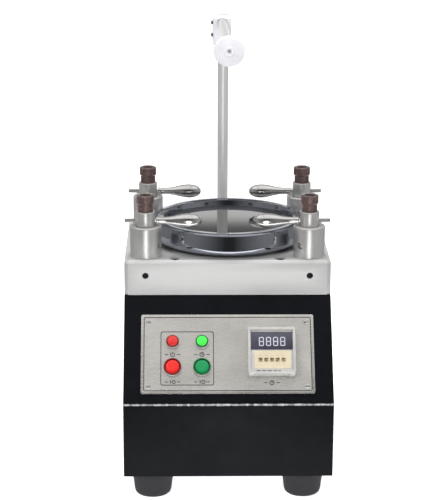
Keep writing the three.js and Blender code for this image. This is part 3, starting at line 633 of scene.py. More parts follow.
    def piece(self, name: str, body: str, *finishes: Finish, slot: str = "",
              stands_for: tuple[str, ...] = (), sharp: float = 32.0) -> bpy.types.Object:
        """Makes the form a finished object that rides on a body.

        Args:
            name: the piece's name.
            body: the frame body that carries it.
            finishes: its finishes, the first one on most faces.
            slot: the record's material slot; not used.
            stands_for: frame nodes that it takes the place of.
            sharp: edges over this angle, in degrees, stay crisp.

        Returns:
            The object.
        """
        limit = math.radians(sharp)
        self.move(Matrix.Scale(MM, 4))
        for face in self.bm.faces:
            face.smooth = True
        for edge in self.bm.edges:
            edge.smooth = edge.calc_face_angle(0) < limit
        made = self._object(name)
        for finish in finishes:
            made.data.materials.append(finish.material())
        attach(made, body)
        if stands_for:
            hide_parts(*stands_for)
        log.info("made %s on %s, %d faces", name, body, len(made.data.polygons))
        return made


def dress(node: str, finish: Finish) -> None:
    """Gives a frame node that keeps its own shape a finish.

    Args:
        node: the frame node.
        finish: what it gets.
    """
    made = frame["nodes"][node]
    made.data.materials.clear()
    made.data.materials.append(finish.material())


# ---------------------------------------------------------------- the panel's directions


@dataclass
class Panel:
    """The sloping panel's own directions, from the middle of the control plate's face."""

    origin: Vector
    up: Vector
    out: Vector

    @classmethod
    def from_frame(cls) -> "Panel":
        """Reads the slope from the way the power button is pressed.

        Returns:
            The panel's directions.
        """
        press = next(j for j in frame["joints"] if j["name"] == "power_button_press")
        out = -Vector(press["axis"]).normalized()
        up = Vector((0, out.z, -out.y))
        return cls(middle("control_plate") + out * (PLATE_THICKNESS / 2), up, out)

    def matrix(self) -> Matrix:
        """From the panel's own millimetres to the machine's."""
        columns = Matrix((Vector((1, 0, 0)), self.up, self.out)).transposed().to_4x4()
        return Matrix.Translation(self.origin) @ columns

    def locate(self, node: str) -> Vector:
        """Where a node's middle is: across, up the slope and out of it."""
        away = middle(node) - self.origin
        return Vector((away.x, away.dot(self.up), away.dot(self.out)))

    def fold_height(self) -> float:
        """The height of the fold below the slope, where the cabinet's front turns upright."""
        low, high = span("housing_shell")
        return high.z - (span("top_block")[0].y - low.y) * self.up.z / self.up.y


# ---------------------------------------------------------------- palette


@dataclass(frozen=True)
class Palette:
    """The machine's finishes."""

    paint: Finish
    zinc: Finish = Metal("zinc_plate", (0.62, 0.63, 0.64), (0.5, 0.51, 0.53), 0.4)
    inlet: Finish = Moulded("inlet_black", (0.02, 0.02, 0.022), (0.012, 0.012, 0.013), 0.45)
    rubber: Finish = Moulded("foot_rubber", (0.0035, 0.004, 0.005), (0.0025, 0.003, 0.0037), 0.9,
                             texture_size=0.8, texture_depth=0.05, gloss=0.03)
    plate: Finish = Metal("brushed_plate", (0.65, 0.63, 0.595), (0.5, 0.487, 0.457), 0.27,
                          Grain.ACROSS, 0.35, 0.0012, 30.0, 0.75)
    groove: Finish = Metal("groove_dark", (0.09, 0.09, 0.085), (0.05, 0.05, 0.05), 0.5)
    ink: Finish = Moulded("panel_ink", (0.035, 0.035, 0.036), (0.02, 0.02, 0.02), 0.5)
    red_ring: Finish = Moulded("ring_dark_red", (0.2, 0.012, 0.01), (0.12, 0.008, 0.008), 0.35)
    green_ring: Finish = Moulded("ring_dark_green", (0.006, 0.13, 0.03), (0.004, 0.08, 0.02), 0.35)
    # Near-white collar under each lamp and button: a painted reflection of the white shapes seen in
    # the plate.
    reflection_ring: Finish = Metal("painted_reflection_ring", (0.95, 0.95, 0.94), (0.9, 0.9, 0.89), 0.2,
                           metallic=0.3)
    red_lens: Finish = Moulded("lens_red", (0.6, 0.026, 0.021), (0.5, 0.018, 0.015), 0.18,
                               texture_depth=0.004, coat=0.6, glow=0.18)
    green_lens: Finish = Moulded("lens_green", (0.055, 0.8, 0.075), (0.04, 0.68, 0.055), 0.18,
                                 texture_depth=0.004, coat=0.6, glow=0.25)
    # The red cap is no lamp: its faint glow is painted light that brightens it.
    red_cap: Finish = Moulded("cap_red", (0.7, 0.016, 0.01), (0.6, 0.012, 0.008), 0.3,
                              texture_depth=0.006, coat=0.3, glow=0.08)
    green_cap: Finish = Moulded("cap_green", (0.001, 0.25, 0.075), (0.001, 0.2, 0.06), 0.3,
                                texture_depth=0.006, coat=0.3)
    bezel: Finish = Moulded("bezel_pale", (0.47, 0.46, 0.44), (0.41, 0.4, 0.385), 0.25,
                            texture_depth=0.006, coat=0.4)
    # A lighter copy of the bezel's colour for its lower wall: a painted highlight.
    lit_bezel_wall: Finish = Moulded("bezel_painted_highlight", (0.86, 0.86, 0.85), (0.78, 0.78, 0.77), 0.2,
                                 texture_depth=0.006, coat=0.5)
    cream: Finish = Moulded("face_cream", (0.6, 0.53, 0.385), (0.55, 0.48, 0.35), 0.5)
    display: Finish = Moulded("display_smoke", (0.055, 0.055, 0.078), (0.045, 0.045, 0.065), 0.12,
                              texture_depth=0.002, coat=0.7)
    digit: Finish = Moulded("digit_pale", (0.55, 0.55, 0.62), (0.48, 0.48, 0.55), 0.4)
    wheel: Finish = Moulded("wheel_tan", (0.6, 0.49, 0.32), (0.52, 0.42, 0.27), 0.5)
    numeral: Finish = Moulded("numeral_brown", (0.1, 0.06, 0.045), (0.07, 0.04, 0.03), 0.5)
    block: Finish = Metal("milled_aluminium", (0.6, 0.6, 0.595), (0.53, 0.53, 0.525), 0.4,
                          Grain.ACROSS, 0.5, 0.003, 60.0, 0.4)
    chrome: Finish = Metal("hard_chrome", (0.4, 0.42, 0.47), (0.35, 0.37, 0.42), 0.09,
                           mark_depth=0.0005)
    mirror: Finish = Metal("lapped_mirror", (0.32, 0.32, 0.315), (0.29, 0.29, 0.285), 0.03,
                           mark_depth=0.0005)
    gear: Finish = Metal("gear_steel", (0.42, 0.42, 0.44), (0.3, 0.3, 0.31), 0.35)
    belt: Finish = Moulded("belt_rubber", (0.015, 0.015, 0.015), (0.01, 0.01, 0.01), 0.7)
    motor: Finish = Moulded("motor_paint", (0.05, 0.05, 0.055), (0.035, 0.035, 0.04), 0.5)
    post: Finish = Metal("turned_steel", (0.74, 0.735, 0.72), (0.68, 0.675, 0.66), 0.36,
                         Grain.ROUND_UPRIGHT, 0.5, 0.0001, 15.0, 0.85)
    handle: Finish = Metal("polished_handle", (0.84, 0.83, 0.81), (0.74, 0.73, 0.71), 0.19,
                           Grain.ROUND_LEVEL, 0.4, 0.001)
    bronze: Finish = Metal("dark_bronze", (0.25, 0.175, 0.165), (0.13, 0.09, 0.085), 0.4,
                           Grain.EVEN, 0.8, 0.015, 5.0, 0.5)
    bronze_edge: Finish = Metal("pale_bronze_top", (0.5, 0.45, 0.42), (0.36, 0.31, 0.28), 0.25)
    dark: Finish = Metal("blackened_screw", (0.03, 0.03, 0.03), (0.018, 0.018, 0.018), 0.4)
    bright: Finish = Metal("bright_screw", (0.8, 0.8, 0.79), (0.66, 0.66, 0.65), 0.2)
    rod: Finish = Metal("ground_rod", (0.88, 0.875, 0.865), (0.82, 0.815, 0.805), 0.4,
                        Grain.ROUND_UPRIGHT, 0.5, 0.0001, 25.0, 0.6)
    arm: Finish = Metal("ground_arm", (0.82, 0.81, 0.8), (0.72, 0.71, 0.7), 0.2,
                        Grain.ROUND_DEEP, 0.5, 0.001)
    acetal: Finish = Moulded("white_acetal", (0.86, 0.85, 0.89), (0.8, 0.79, 0.83), 0.35,
                             texture_size=0.3, texture_depth=0.006)


# ---------------------------------------------------------------- fasteners


class Drive(Enum):
    """The shape that a driver fits in a screw's head."""

    HEX = "hex"
    CROSS = "cross"
    SLOT = "slot"


@dataclass(frozen=True)
class Screw:
    """A screw's head, standing on the origin and facing +Z."""

    radius: float
    height: float
    drive: Drive
    domed: bool = False

    def form(self) -> Form:
        """The head with its recess.

        Returns:
            The form.
        """
        radius, height = self.radius, self.height
        shoulder = height * (0.45 if self.domed else 1.0)
        outline = [(0, 0), (radius, 0), (radius, shoulder)]
        if self.domed:
            outline += [(radius * 0.86, height * 0.78), (radius * 0.5, height * 0.95)]
        head = Form.turned([*outline, (0, height)], SMALL_STEPS).soften(radius * 0.06, 2, 40)
        floor = height * 0.4
        if self.drive is Drive.HEX:
            return head.cut(Form.rod(radius * 0.52, floor, height + 1, 6))
        reach, half = radius * 0.66, radius * 0.12
        blade = Form.box((-reach, -half, floor), (reach, half, height + 1))
        if self.drive is Drive.SLOT:
            return head.cut(blade.move(turn(35, "Z")))
        cross = Form.box((-half, -reach, floor), (half, reach, height + 1))
        return head.cut(blade).cut(cross).move(turn(20, "Z"))


def facing(point: Point, normal: Point) -> Matrix:
    """Puts the origin at a point and turns +Z along a normal."""
    return at(*point) @ Vector(normal).to_track_quat("Z", "Y").to_matrix().to_4x4()


def screws(screw: Screw, places: list[Matrix]) -> Form:
    """One form of several like screws."""
    return Form().join(*[screw.form().move(place) for place in places])


# ---------------------------------------------------------------- cabinet


@dataclass
class Cabinet:
    """The folded sheet cabinet, its rear cover, inlet and feet."""

    finishes: Palette
    panel: Panel
    sheet: float = 2.5
    fold_radius: float = 2.4
    side_radius: float = 0.9
    panel_opening: tuple[float, float] = (150.0, 64.0)
    deck_bore: float = 52.5
    rear_half_width: float = 86.0
    rear_bottom: float = 44.0
    rear_top: float = 180.0
    corner: float = 3.0
    cutter_reach: float = 9.0
    screw_margin: float = 6.0
    louvre: tuple[float, float] = (58.0, 4.0)
    louvre_rows: int = 7
    louvre_pitch: float = 9.0
    louvre_bottom: float = 96.0
    louvre_x: float = 44.0
    hood_height: float = 2.6
    inlet_mouth: tuple[float, float] = (24.4, 17.4)
    inlet_cut: tuple[float, float] = (29.0, 22.0)
    inlet_pins: tuple[tuple[float, float], ...] = ((-7.0, -2.0), (0.0, 2.4), (7.0, -2.0))
    inlet_screw_x: float = 20.0
    foot_bore: tuple[float, float] = (5.0, 12.0)

    def build(self) -> None:
        """Makes every piece of the cabinet."""
        self.shell()
        self.rear_cover()
        self.inlet()
        self.feet()
        dress("base_plate", self.finishes.zinc)

    def shell(self) -> None:
        """The folded shell, hollow, open below and cut for the panel, the deck and the rear."""
        low, high = span("housing_shell")
        deck_y = span("top_block")[0].y
        outline = [(low.y, low.z), (low.y, self.panel.fold_height()), (deck_y, high.z),
                   (high.y, high.z), (high.y, low.z)]
        form = Form.slab(outline, low.x, high.x)
        form.move(Matrix(((0, 0, 1, 0), (1, 0, 0, 0), (0, 1, 0, 0), (0, 0, 0, 1))))
        folds = form.edges_where(lambda mid, way: abs(way.x) > 0.9 and mid.z > low.z + 1)
        form.round_edges(folds, self.fold_radius, 5)
        sides = form.edges_where(lambda mid, way: abs(way.x) < 0.1 and mid.z > low.z + 1
                                 and abs(mid.x) > high.x - 0.1)
        form.round_edges([edge for edge in sides if edge.calc_face_angle(0) > 0.5],
                         self.side_radius, 3)
        floor = [face for face in form.bm.faces if face.normal.z < -0.99]
        bmesh.ops.delete(form.bm, geom=floor, context="FACES_ONLY")
        bmesh.ops.solidify(form.bm, geom=form.bm.faces[:], thickness=self.sheet)
        form.mended()
        reach, half = self.cutter_reach, self.rear_half_width
        opening = Form.plate(*self.panel_opening, self.corner, -3 * self.sheet - 2, self.sheet)
        deck_hole = Form.rod(self.deck_bore, high.z - reach, high.z + reach, TURNED_STEPS)
        rear_hole = Form.box((-half, high.y - reach, self.rear_bottom),
                             (half, high.y + reach, self.rear_top))
        form.cut(opening.move(self.panel.matrix()))
        form.cut(deck_hole.move(at(0, middle("platen_shaft").y, 0))).cut(rear_hole)
        form.piece("cabinet_shell", "base", self.finishes.paint, slot="cabinet_paint",
                   stands_for=("housing_shell",))

    def louvre_places(self) -> list[tuple[float, float]]:
        """Works out where the louvres are.

        Returns:
            The middle of each, across and up.
        """
        rows = range(self.louvre_rows)
        return [(x, self.louvre_bottom + row * self.louvre_pitch)
                for x in (-self.louvre_x, self.louvre_x) for row in rows]

    def rear_cover(self) -> None:
        """The rear cover with pressed louvres, and its screws."""
        low, high = span("rear_panel")
        inlet = middle("power_inlet")
        length, height = self.louvre
        cover = Form.plate(high.x - low.x, high.z - low.z, self.corner, 0, high.y - low.y,
                           (0, (low.z + high.z) / 2)).soften(0.3, 2)
        slots = [Form.plate(length, height, 1.5, -1, 5, (x, z)) for x, z in self.louvre_places()]
        cut = Form.plate(*self.inlet_cut, 1, -1, 5, (-inlet.x, inlet.z))
        cover.cut(*slots, cut)
        top = high.y - low.y
        hood = Form.plate(length + 3, height + 3.4, 2.4, top - 0.4, top + self.hood_height)
        hood.round_edges(hood.edges_where(lambda mid, way: mid.z > top + 1), 1.7, 4)
        hollow = Form.box((-length / 2 + 0.6, -height, top - 1),
                          (length / 2 - 0.6, height / 2, top + self.hood_height - 0.7))
        hood.cut(hollow)
        for x, z in self.louvre_places():
            shade = Form()
            shade.bm = hood.bm.copy()
            cover.join(shade.move(at(x, z + 0.6, 0)))
        hood.bm.free()
        # The cover is drawn face up, then stood upright with its outside towards the rear.
        stand = at(0, low.y, 0) @ turn(180, "Z") @ turn(90, "X")
        cover.move(stand).piece("rear_cover", "base", self.finishes.paint, slot="cabinet_paint",
                                stands_for=("rear_panel",))
        half, mid_z = (high.x - low.x) / 2 - self.screw_margin, (low.z + high.z) / 2
        rise = (high.z - low.z) / 2 - self.screw_margin
        places = [facing((x, high.y, mid_z + z), (0, 1, 0)) for x in (-half, 0, half)
                  for z in (-rise, rise)]
        screws(Screw(3.1, 1.9, Drive.CROSS, True), places).piece(
            "rear_screws", "base", self.finishes.bright)

    def inlet(self) -> None:
        """The mains inlet with its three pins and two screws."""
        low, high = span("power_inlet")
        place = middle("power_inlet")
        stand = at(place.x, 0, place.z) @ turn(180, "Z") @ turn(90, "X")
        flange_low = span("rear_panel")[1].y + CLEARANCE
        form = Form.plate(high.x - low.x, high.z - low.z, 3, flange_low, high.y).soften(0.5, 3)
        body = Form.plate(self.inlet_cut[0] - 0.6, self.inlet_cut[1] - 0.6, 1, low.y, high.y - 0.6)
        mouths = [Form.plate(*self.inlet_mouth, 3.4, low.y + 7, high.y + 3) for _ in range(2)]
        form.cut(Form.plate(20, 12, 1, flange_low - 1, high.y + 1)).join(body.cut(mouths[0]))
        form.cut(mouths[1]).move(stand).piece("inlet_body", "base", self.finishes.inlet,
                                          slot="dark_plastic", stands_for=("power_inlet",))
        pins = Form()
        for x, z in self.inlet_pins:
            pin = Form.box((x - 1, z - 2, low.y + 6.9), (x + 1, z + 2, low.y + 19))
            pins.join(pin.soften(0.35, 2))
        pins.move(stand).piece("inlet_pins", "base", self.finishes.bright)
        places = [facing((place.x + side * self.inlet_screw_x, high.y, place.z), (0, 1, 0))
                  for side in (-1, 1)]
        screws(Screw(2.6, 1.4, Drive.CROSS, True), places).piece(
            "inlet_screws", "base", self.finishes.bright)

    def feet(self) -> None:
        """Four tapered rubber feet, each with a screw up its middle."""
        bore, depth = self.foot_bore
        for end in ("front", "rear"):
            for side in ("left", "right"):
                node = f"foot_{end}_{side}"
                low, high = span(node)
                centre = (low + high) / 2
                outline = [(0, depth), (bore, depth), (bore, 0), (15.0, 0), (16.6, 0.5),
                           (17.8, 1.6), (18.6, 3.8), (19.0, 6.5), (19.6, 12), (20.4, 17),
                           (21.0, 21), (21.3, 24.6), (21.3, high.z), (0, high.z)]
                Form.turned(outline).soften(0.25, 2, 45).move(at(centre.x, centre.y, 0)).piece(
                    f"rubber_{node}", "base", self.finishes.rubber, slot="foot_rubber",
                    stands_for=(node,))
                head = screws(Screw(3.6, 3.0, Drive.CROSS, True),
                              [facing((centre.x, centre.y, depth - CLEARANCE), (0, 0, -1))])
                head.piece(f"screw_{node}", "base", self.finishes.zinc)


# ---------------------------------------------------------------- control panel


class Mark(Enum):
    """The plain signs printed on the panel."""

    POWER = "power"
    CLOCK = "clock"
    TOGGLE = "toggle"


@dataclass
class Print:
    """Signs printed on the plate, drawn from strokes."""

    thickness: float = 0.08
    stroke: float = 0.75
    dash: float = 3.4

    def bar(self, length: float, degrees: float = 90.0, x: float = 0.0, y: float = 0.0) -> Form:
        """A straight stroke.

        Args:
            length: of the stroke.
            degrees: its angle from +X.
            x: where its middle is across.
            y: where its middle is up.

        Returns:
            The stroke.
        """
        half = self.stroke / 2
        form = Form.box((-length / 2, -half, 0), (length / 2, half, self.thickness))
        return form.move(at(x, y, 0) @ turn(degrees, "Z"))

    def sign(self, mark: Mark) -> Form:
        """A sign between two dashes, about the origin.

        Args:
            mark: which sign.

        Returns:
            The sign.
        """
        form = Form().join(*[self.bar(self.dash, 0, side * 6.2) for side in (-1, 1)])
        if mark is Mark.POWER:
            form.join(Form.arc(2.0, self.stroke, self.thickness, 120, 300),
                      self.bar(2.3, 90, 0, 1.4))
        elif mark is Mark.CLOCK:
            form.join(Form.arc(2.1, self.stroke, self.thickness), self.bar(1.5, 90, 0, 0.6),
                      self.bar(1.2, 0, 0.5, 0))
        else:
            form.join(self.bar(3.6, 90, -1.9, 0), Form.arc(1.6, self.stroke, self.thickness).move(
                at(1.3, 0, 0)))
        return form

    def frame(self, width: float, height: float, radius: float) -> Form:
        """A rounded outline about the origin.

        Args:
            width: across its outside.
            height: up its outside.
            radius: of its corners.

        Returns:
            The outline.
        """
        outer = Form.plate(width, height, radius, 0, self.thickness)
        inner = Form.plate(width - 2 * self.stroke, height - 2 * self.stroke,
                           radius - self.stroke / 2, -1, 1)
        return outer.cut(inner)


@dataclass
class Digit:
    """A seven-bar numeral, centred on the origin."""

    width: float
    height: float
    stroke: float
    thickness: float = 0.1

    BARS = {"a": (0, 1), "b": (1, 0.5), "c": (1, -0.5), "d": (0, -1), "e": (-1, -0.5),
            "f": (-1, 0.5), "g": (0, 0)}
    SHOWN = {0: "abcdef", 1: "bc", 2: "abged", 3: "abgcd", 4: "fgbc", 5: "afgcd",
             6: "afgedc", 7: "abc", 8: "abcdefg", 9: "abcdfg"}

    def form(self, value: int) -> Form:
        """One numeral.

        Args:
            value: the number from 0 to 9.

        Returns:
            Its bars.
        """
        half_w, half_h = (self.width - self.stroke) / 2, (self.height - self.stroke) / 2
        gap = self.stroke * 0.18
        made = Form()
        for bar in self.SHOWN[value]:
            side, level = self.BARS[bar]
            level_bar = side == 0
            long = (half_w if level_bar else half_h / 2) - gap
            wide = self.stroke / 2
            reach = (long, wide) if level_bar else (wide, long)
            x, y = side * half_w, level * half_h
            made.join(Form.box((x - reach[0], y - reach[1], 0),
                               (x + reach[0], y + reach[1], self.thickness)))
        return made


@dataclass
class ControlPanel:
    """The brushed plate with its lamps, buttons, signs and screws."""

    finishes: Palette
    panel: Panel
    prints: Print
    size: tuple[float, float] = (174.0, 83.0)
    corner: float = 2.0
    groove_inset: float = 2.7
    groove_width: float = 0.8
    screw_margin: float = 7.7
    lamp_hole: float = 5.3
    button_hole: float = 8.5
    timer_hole: float = 45.0
    lamp_radius: float = 6.5
    ring_radius: float = 8.8
    ring_height: float = 4.9
    cap_radius: float = 7.15
    cap_height: float = 4.3
    cap_bore: float = 7.5
    line_size: tuple[float, float] = (53.5, 56.4)
    line_drop: float = 3.7
    sign_below_lamp: float = 13.0
    sign_below_button: float = 15.0
    sign_below_timer: float = 31.0

    def build(self) -> None:
        """Makes every piece of the panel."""
        self.plate()
        self.signs()
        self.lamp("power_lamp", self.finishes.red_lens, self.finishes.red_ring, "red_lens")
        self.lamp("timer_lamp", self.finishes.green_lens, self.finishes.green_ring, "green_lens")
        self.button("power_button", self.finishes.red_cap, self.finishes.red_ring, "red_cap")
        self.button("timer_button", self.finishes.green_cap, self.finishes.green_ring, "green_cap")

    def plate(self) -> None:
        """The plate with a dark engraved border line, and its screws."""
        width, height = self.size
        form = Form.plate(width, height, self.corner, -PLATE_THICKNESS, 0)
        form.round_edges(form.edges_where(lambda mid, way: mid.z > -0.01), 0.35, 2)
        outer = 2 * self.groove_inset
        inner = outer + 2 * self.groove_width
        groove = Form.plate(width - outer, height - outer, 1.4, -0.3, 1)
        groove.cut(Form.plate(width - inner, height - inner, 0.7, -1, 2))
        holes = [Form.rod(radius, -5, 5).move(at(*self.panel.locate(node).xy, 0))
                 for node, radius in (("power_lamp", self.lamp_hole),
                                      ("timer_lamp", self.lamp_hole),
                                      ("power_button_ring", self.button_hole),
                                      ("timer_button_ring", self.button_hole))]
        holes.append(Form.plate(self.timer_hole, self.timer_hole, 1, -5, 5,
                                self.panel.locate("timer_case").xy))
        form.cut(groove).cut(*holes)
        form.paint(1, lambda face: face.normal.z > 0.9
                   and -1 < face.calc_center_median().z < -0.1).move(self.panel.matrix())
        form.piece("brushed_plate", "base", self.finishes.plate, self.finishes.groove,
                   slot="plate_steel", stands_for=("control_plate",))
        reach = (width / 2 - self.screw_margin, height / 2 - self.screw_margin)
        places = [self.panel.matrix() @ at(x * reach[0], y * reach[1], 0)
                  for x in (-1, 1) for y in (-1, 1)]
        screws(Screw(2.4, 1.3, Drive.CROSS, True), places).piece(
            "plate_screws", "base", self.finishes.bright)

    def signs(self) -> None:
        """The printed signs and the line round the lamps and buttons."""
        lamp, other = self.panel.locate("power_lamp"), self.panel.locate("timer_lamp")
        button = self.panel.locate("power_button")
        timer = self.panel.locate("timer_case")
        places = [(Mark.POWER, lamp.x, lamp.y - self.sign_below_lamp),
                  (Mark.CLOCK, other.x, other.y - self.sign_below_lamp),
                  (Mark.TOGGLE, lamp.x, button.y - self.sign_below_button),
                  (Mark.TOGGLE, other.x, button.y - self.sign_below_button),
                  (Mark.CLOCK, timer.x, timer.y - self.sign_below_timer)]
        printed = Form().join(*[self.prints.sign(mark).move(at(x, y, 0)) for mark, x, y in places])
        line = self.prints.frame(*self.line_size, 2.2)
        printed.join(line.move(at((lamp.x + other.x) / 2,
                                  (lamp.y + button.y) / 2 - self.line_drop, 0)))
        printed.move(self.panel.matrix() @ at(0, 0, 0.01))
        printed.piece("panel_signs", "base", self.finishes.ink)

    def lamp(self, node: str, lens: Finish, rim: Finish, slot: str) -> None:
        """Makes a lamp: a near-white collar that is a painted reflection, a coloured rim and a
        domed lens.

        Args:
            node: the lamp's frame node.
            lens: the lens's finish.
            rim: the rim's finish.
            slot: the record's slot for the lens.
        """
        radius = self.lamp_radius
        place = self.panel.matrix() @ at(*self.panel.locate(node).xy, 0)
        reflection_ring = Form.turned([(4.8, 0.02), (radius + 0.15, 0.02), (radius + 0.15, 2.9),
                              (4.8, 2.9)], SMALL_STEPS, True).soften(0.25)
        reflection_ring.move(place).piece(f"{node}_collar", "base", self.finishes.reflection_ring)
        outline = [(radius - 1.3, 2.95), (radius, 2.95), (radius, 4.0), (radius - 0.5, 4.6),
                   (radius - 1.3, 4.6)]
        Form.turned(outline, SMALL_STEPS, True).soften(0.2).move(place).piece(
            f"{node}_rim", "base", rim)
        inner = radius - 1.35
        dome = [(0, -20), (inner - 0.5, -20), (inner - 0.5, 3), (inner, 3.1), (inner, 4.9),
                (inner * 0.94, 5.3), (inner * 0.75, 5.65), (inner * 0.4, 5.85), (0, 5.9)]
        Form.turned(dome, SMALL_STEPS).move(place).piece(f"{node}_lens", "base", lens, slot=slot,
                                                         stands_for=(node,))

    def button(self, node: str, cap: Finish, rim: Finish, slot: str) -> None:
        """Makes a push button: a collar and a ring that stay, and a cap that is pressed; the
        near-white collar is a painted reflection.

        Args:
            node: the cap's frame node, and its body.
            cap: the cap's finish.
            rim: the ring's finish.
            slot: the record's slot for the cap.
        """
        place = self.panel.matrix() @ at(*self.panel.locate(node).xy, 0)
        radius, bore, face = self.ring_radius, self.cap_bore, self.cap_radius
        wall, height, top = bore + 0.7, self.ring_height, self.cap_height
        reflection_ring = Form.turned([(wall + 0.05, 0.02), (radius, 0.02), (radius, 2.6),
                              (wall + 0.05, 2.6)], SMALL_STEPS, True).soften(0.2)
        reflection_ring.move(place).piece(f"{node}_collar", "base", self.finishes.reflection_ring)
        outline = [(bore, -14), (wall, -14), (wall, 2.65), (radius, 2.65), (radius, height - 0.6),
                   (radius - 0.5, height), (bore + 0.2, height), (bore, height - 0.2)]
        Form.turned(outline, TURNED_STEPS, True).soften(0.15).move(place).piece(
            f"{node}_bezel", "base", rim, slot="dark_plastic", stands_for=(f"{node}_ring",))
        dish = [(0, -10.8), (face, -10.8), (face, top - 1.1), (face - 0.35, top - 0.45),
                (face - 1.1, top - 0.1), (face * 0.55, top - 0.02), (0, top)]
        Form.turned(dish).soften(0.15, 2, 50).move(place).piece(
            f"{node}_cap", node, cap, slot=slot, stands_for=(node,))


@dataclass
class TimerUnit:
    """The square panel timer with its display and five digit wheels."""

    finishes: Palette
    panel: Panel
    prints: Print
    side: float = 48.0
    opening: float = 42.2
    top: float = 11.3
    face_top: float = 9.9
    grip: tuple[float, float] = (35.5, 5.2)
    window: float = 3.9
    digits: int = 4
    digit_pitch: float = 7.1
    wheel_radius: float = 5.4
    wheel_width: float = 4.4
    label_size: tuple[float, float] = (36.3, 18.6)
    label_centre: tuple[float, float] = (0.7, -9.9)
    display_size: tuple[float, float] = (41.6, 18.6)
    display_centre: tuple[float, float] = (0.0, 9.7)
    numeral_size: tuple[float, float] = (5.0, 9.4)
    numeral_place: tuple[float, float] = (0.4, 8.8)
    mark_rise: float = 4.6
    body_side: float = 44.4
    body_depth: float = 63.0
    room_low: Point = (-16.0, -17.0, -15.0)
    room_far: tuple[float, float] = (16.0, -3.0)
    caption_y: float = -21.9
    caption: tuple[tuple[float, float], ...] = ((-13.6, 4.0), (-8.2, 3.4), (-2.6, 4.6),
                                                (3.2, 3.6), (7.4, 2.2))

    def build(self) -> None:
        """Makes every piece of the timer."""
        self.place = self.panel.matrix() @ at(*self.panel.locate("timer_case").xy, 0)
        self.case()
        self.face()
        self.display()
        for number in WHEELS:
            self.wheel(number)

    def case(self) -> None:
        """The pale case: its bezel with a shallow grip in the lower wall, which is painted lighter
        as a painted highlight, and the body behind.
        """
        half = self.side / 2
        bezel = Form.plate(self.side, self.side, 1.8, 0.02, self.top)
        bezel.round_edges(bezel.edges_where(lambda mid, way: mid.z > self.top - 0.01), 0.9, 4)
        opening = Form.plate(self.opening, self.opening, 0.8, self.face_top - 1.5, self.top + 1)
        room = Form.box(self.room_low, (*self.room_far, self.top))
        length, height = self.grip
        grip = Form.plate(length, height, 2.2, -0.6, 1).cut(
            Form.plate(length - 1.6, height - 1.6, 1.5, -1, 2))
        grip.move(at(0, -half, self.top * 0.5) @ turn(90, "X"))
        bezel.cut(opening).cut(room).cut(grip)
        # The lower wall gets the near-white copy of the bezel's colour: a painted highlight.
        bezel.paint(1, lambda face: face.normal.y < -0.9)
        body = Form.plate(self.body_side, self.body_side, 1, -self.body_depth, 0.02)
        body.cut(Form.box(self.room_low, (*self.room_far, 2)))
        bezel.join(body).move(self.place)
        bezel.piece("timer_bezel", "base", self.finishes.bezel, self.finishes.lit_bezel_wall,
                    slot="timer_bezel", stands_for=("timer_case",))

    def face(self) -> None:
        """The pale front sheet, the cream label over the wheels, and their printed marks."""
        side = self.opening - 0.4
        sheet = Form.plate(side, side, 0.6, self.face_top - 1.3, self.face_top - 0.15)
        sheet.cut(*self.holes()).move(self.place)
        sheet.piece("timer_sheet", "base", self.finishes.bezel)
        label = Form.plate(*self.label_size, 0.6, self.face_top - 0.14, self.face_top,
                           self.label_centre)
        label.cut(*self.holes()).move(self.place)
        label.piece("timer_label", "base", self.finishes.cream, slot="timer_cream",
                    stands_for=("timer_face",))
        marks, frames = Form(), Form()
        for number in WHEELS:
            where = self.wheel_place(number)
            for level in (-1, 1):
                marks.join(self.prints.bar(2.0, 0, where.x, where.y + level * self.mark_rise))
            marks.join(self.prints.bar(1.6, 90, where.x, where.y + self.mark_rise))
            outer = Form.plate(self.window + 0.9, self.window + 0.9, 0.5, 0, 0.12,
                               (where.x, where.y))
            frames.join(outer.cut(Form.plate(self.window, self.window, 0, -1, 1,
                                             (where.x, where.y))))
        lift = self.place @ at(0, 0, self.face_top + 0.005)
        marks.move(lift).piece("timer_marks", "base", self.finishes.wheel)
        frames.move(lift).piece("timer_frames", "base", self.finishes.wheel)
        caption = Form().join(*[self.prints.bar(length, 0, x, self.caption_y)
                                for x, length in self.caption])
        caption.move(self.place @ at(0, 0, self.top + 0.01)).piece(
            "timer_caption", "base", self.finishes.ink)

    def wheel_place(self, number: int) -> Vector:
        """A wheel's middle, from the timer's."""
        return self.panel.locate(f"timer_wheel_{number}") - self.panel.locate("timer_case")

    def holes(self) -> list[Form]:
        """The windows over the wheels, as tools to cut with."""
        return [Form.plate(self.window, self.window, 0.3, 1, self.top + 1,
                           self.wheel_place(number).xy) for number in WHEELS]

    def display(self) -> None:
        """The smoked window with four numerals."""
        window = Form.plate(*self.display_size, 0.5, self.face_top - 0.14, self.face_top + 0.25,
                            self.display_centre)
        window.soften(0.12, 2).move(self.place)
        window.piece("timer_display", "base", self.finishes.display)
        numeral = Digit(*self.numeral_size, 0.95)
        middle_x, y = self.numeral_place
        first = middle_x - (self.digits - 1) * self.digit_pitch / 2
        row = [numeral.form(8).move(at(first + index * self.digit_pitch, y, 0))
               for index in range(self.digits)]
        Form().join(*row).move(self.place @ at(0, 0, self.face_top + 0.26)).piece(
            "timer_digits", "base", self.finishes.digit)

    def wheel(self, number: int) -> None:
        """Makes a digit wheel with ten numerals round its rim.

        Args:
            number: the wheel's number from the left.
        """
        node = f"timer_wheel_{number}"
        where = self.panel.locate(node)
        half, radius = self.wheel_width / 2, self.wheel_radius - 0.12
        form = Form.turned([(0, -half), (radius, -half), (radius, half), (0, half)], SMALL_STEPS)
        form.soften(0.2).move(turn(90, "Y"))
        numerals = Form()
        numeral = Digit(1.7, 2.6, 0.34, 0.1)
        for value in range(10):
            angle = 36.0 * (value - (number * 3) % 10)
            numerals.join(numeral.form(value).move(turn(-angle, "X") @ at(0, 0, radius - 0.01)))
        numerals.paint(1, lambda face: True)
        form.join(numerals).move(self.panel.matrix() @ at(*where))
        form.piece(f"digit_wheel_{number}", node, self.finishes.wheel, self.finishes.numeral,
                   slot="timer_wheel", stands_for=(node,))


# ---------------------------------------------------------------- top block and platen


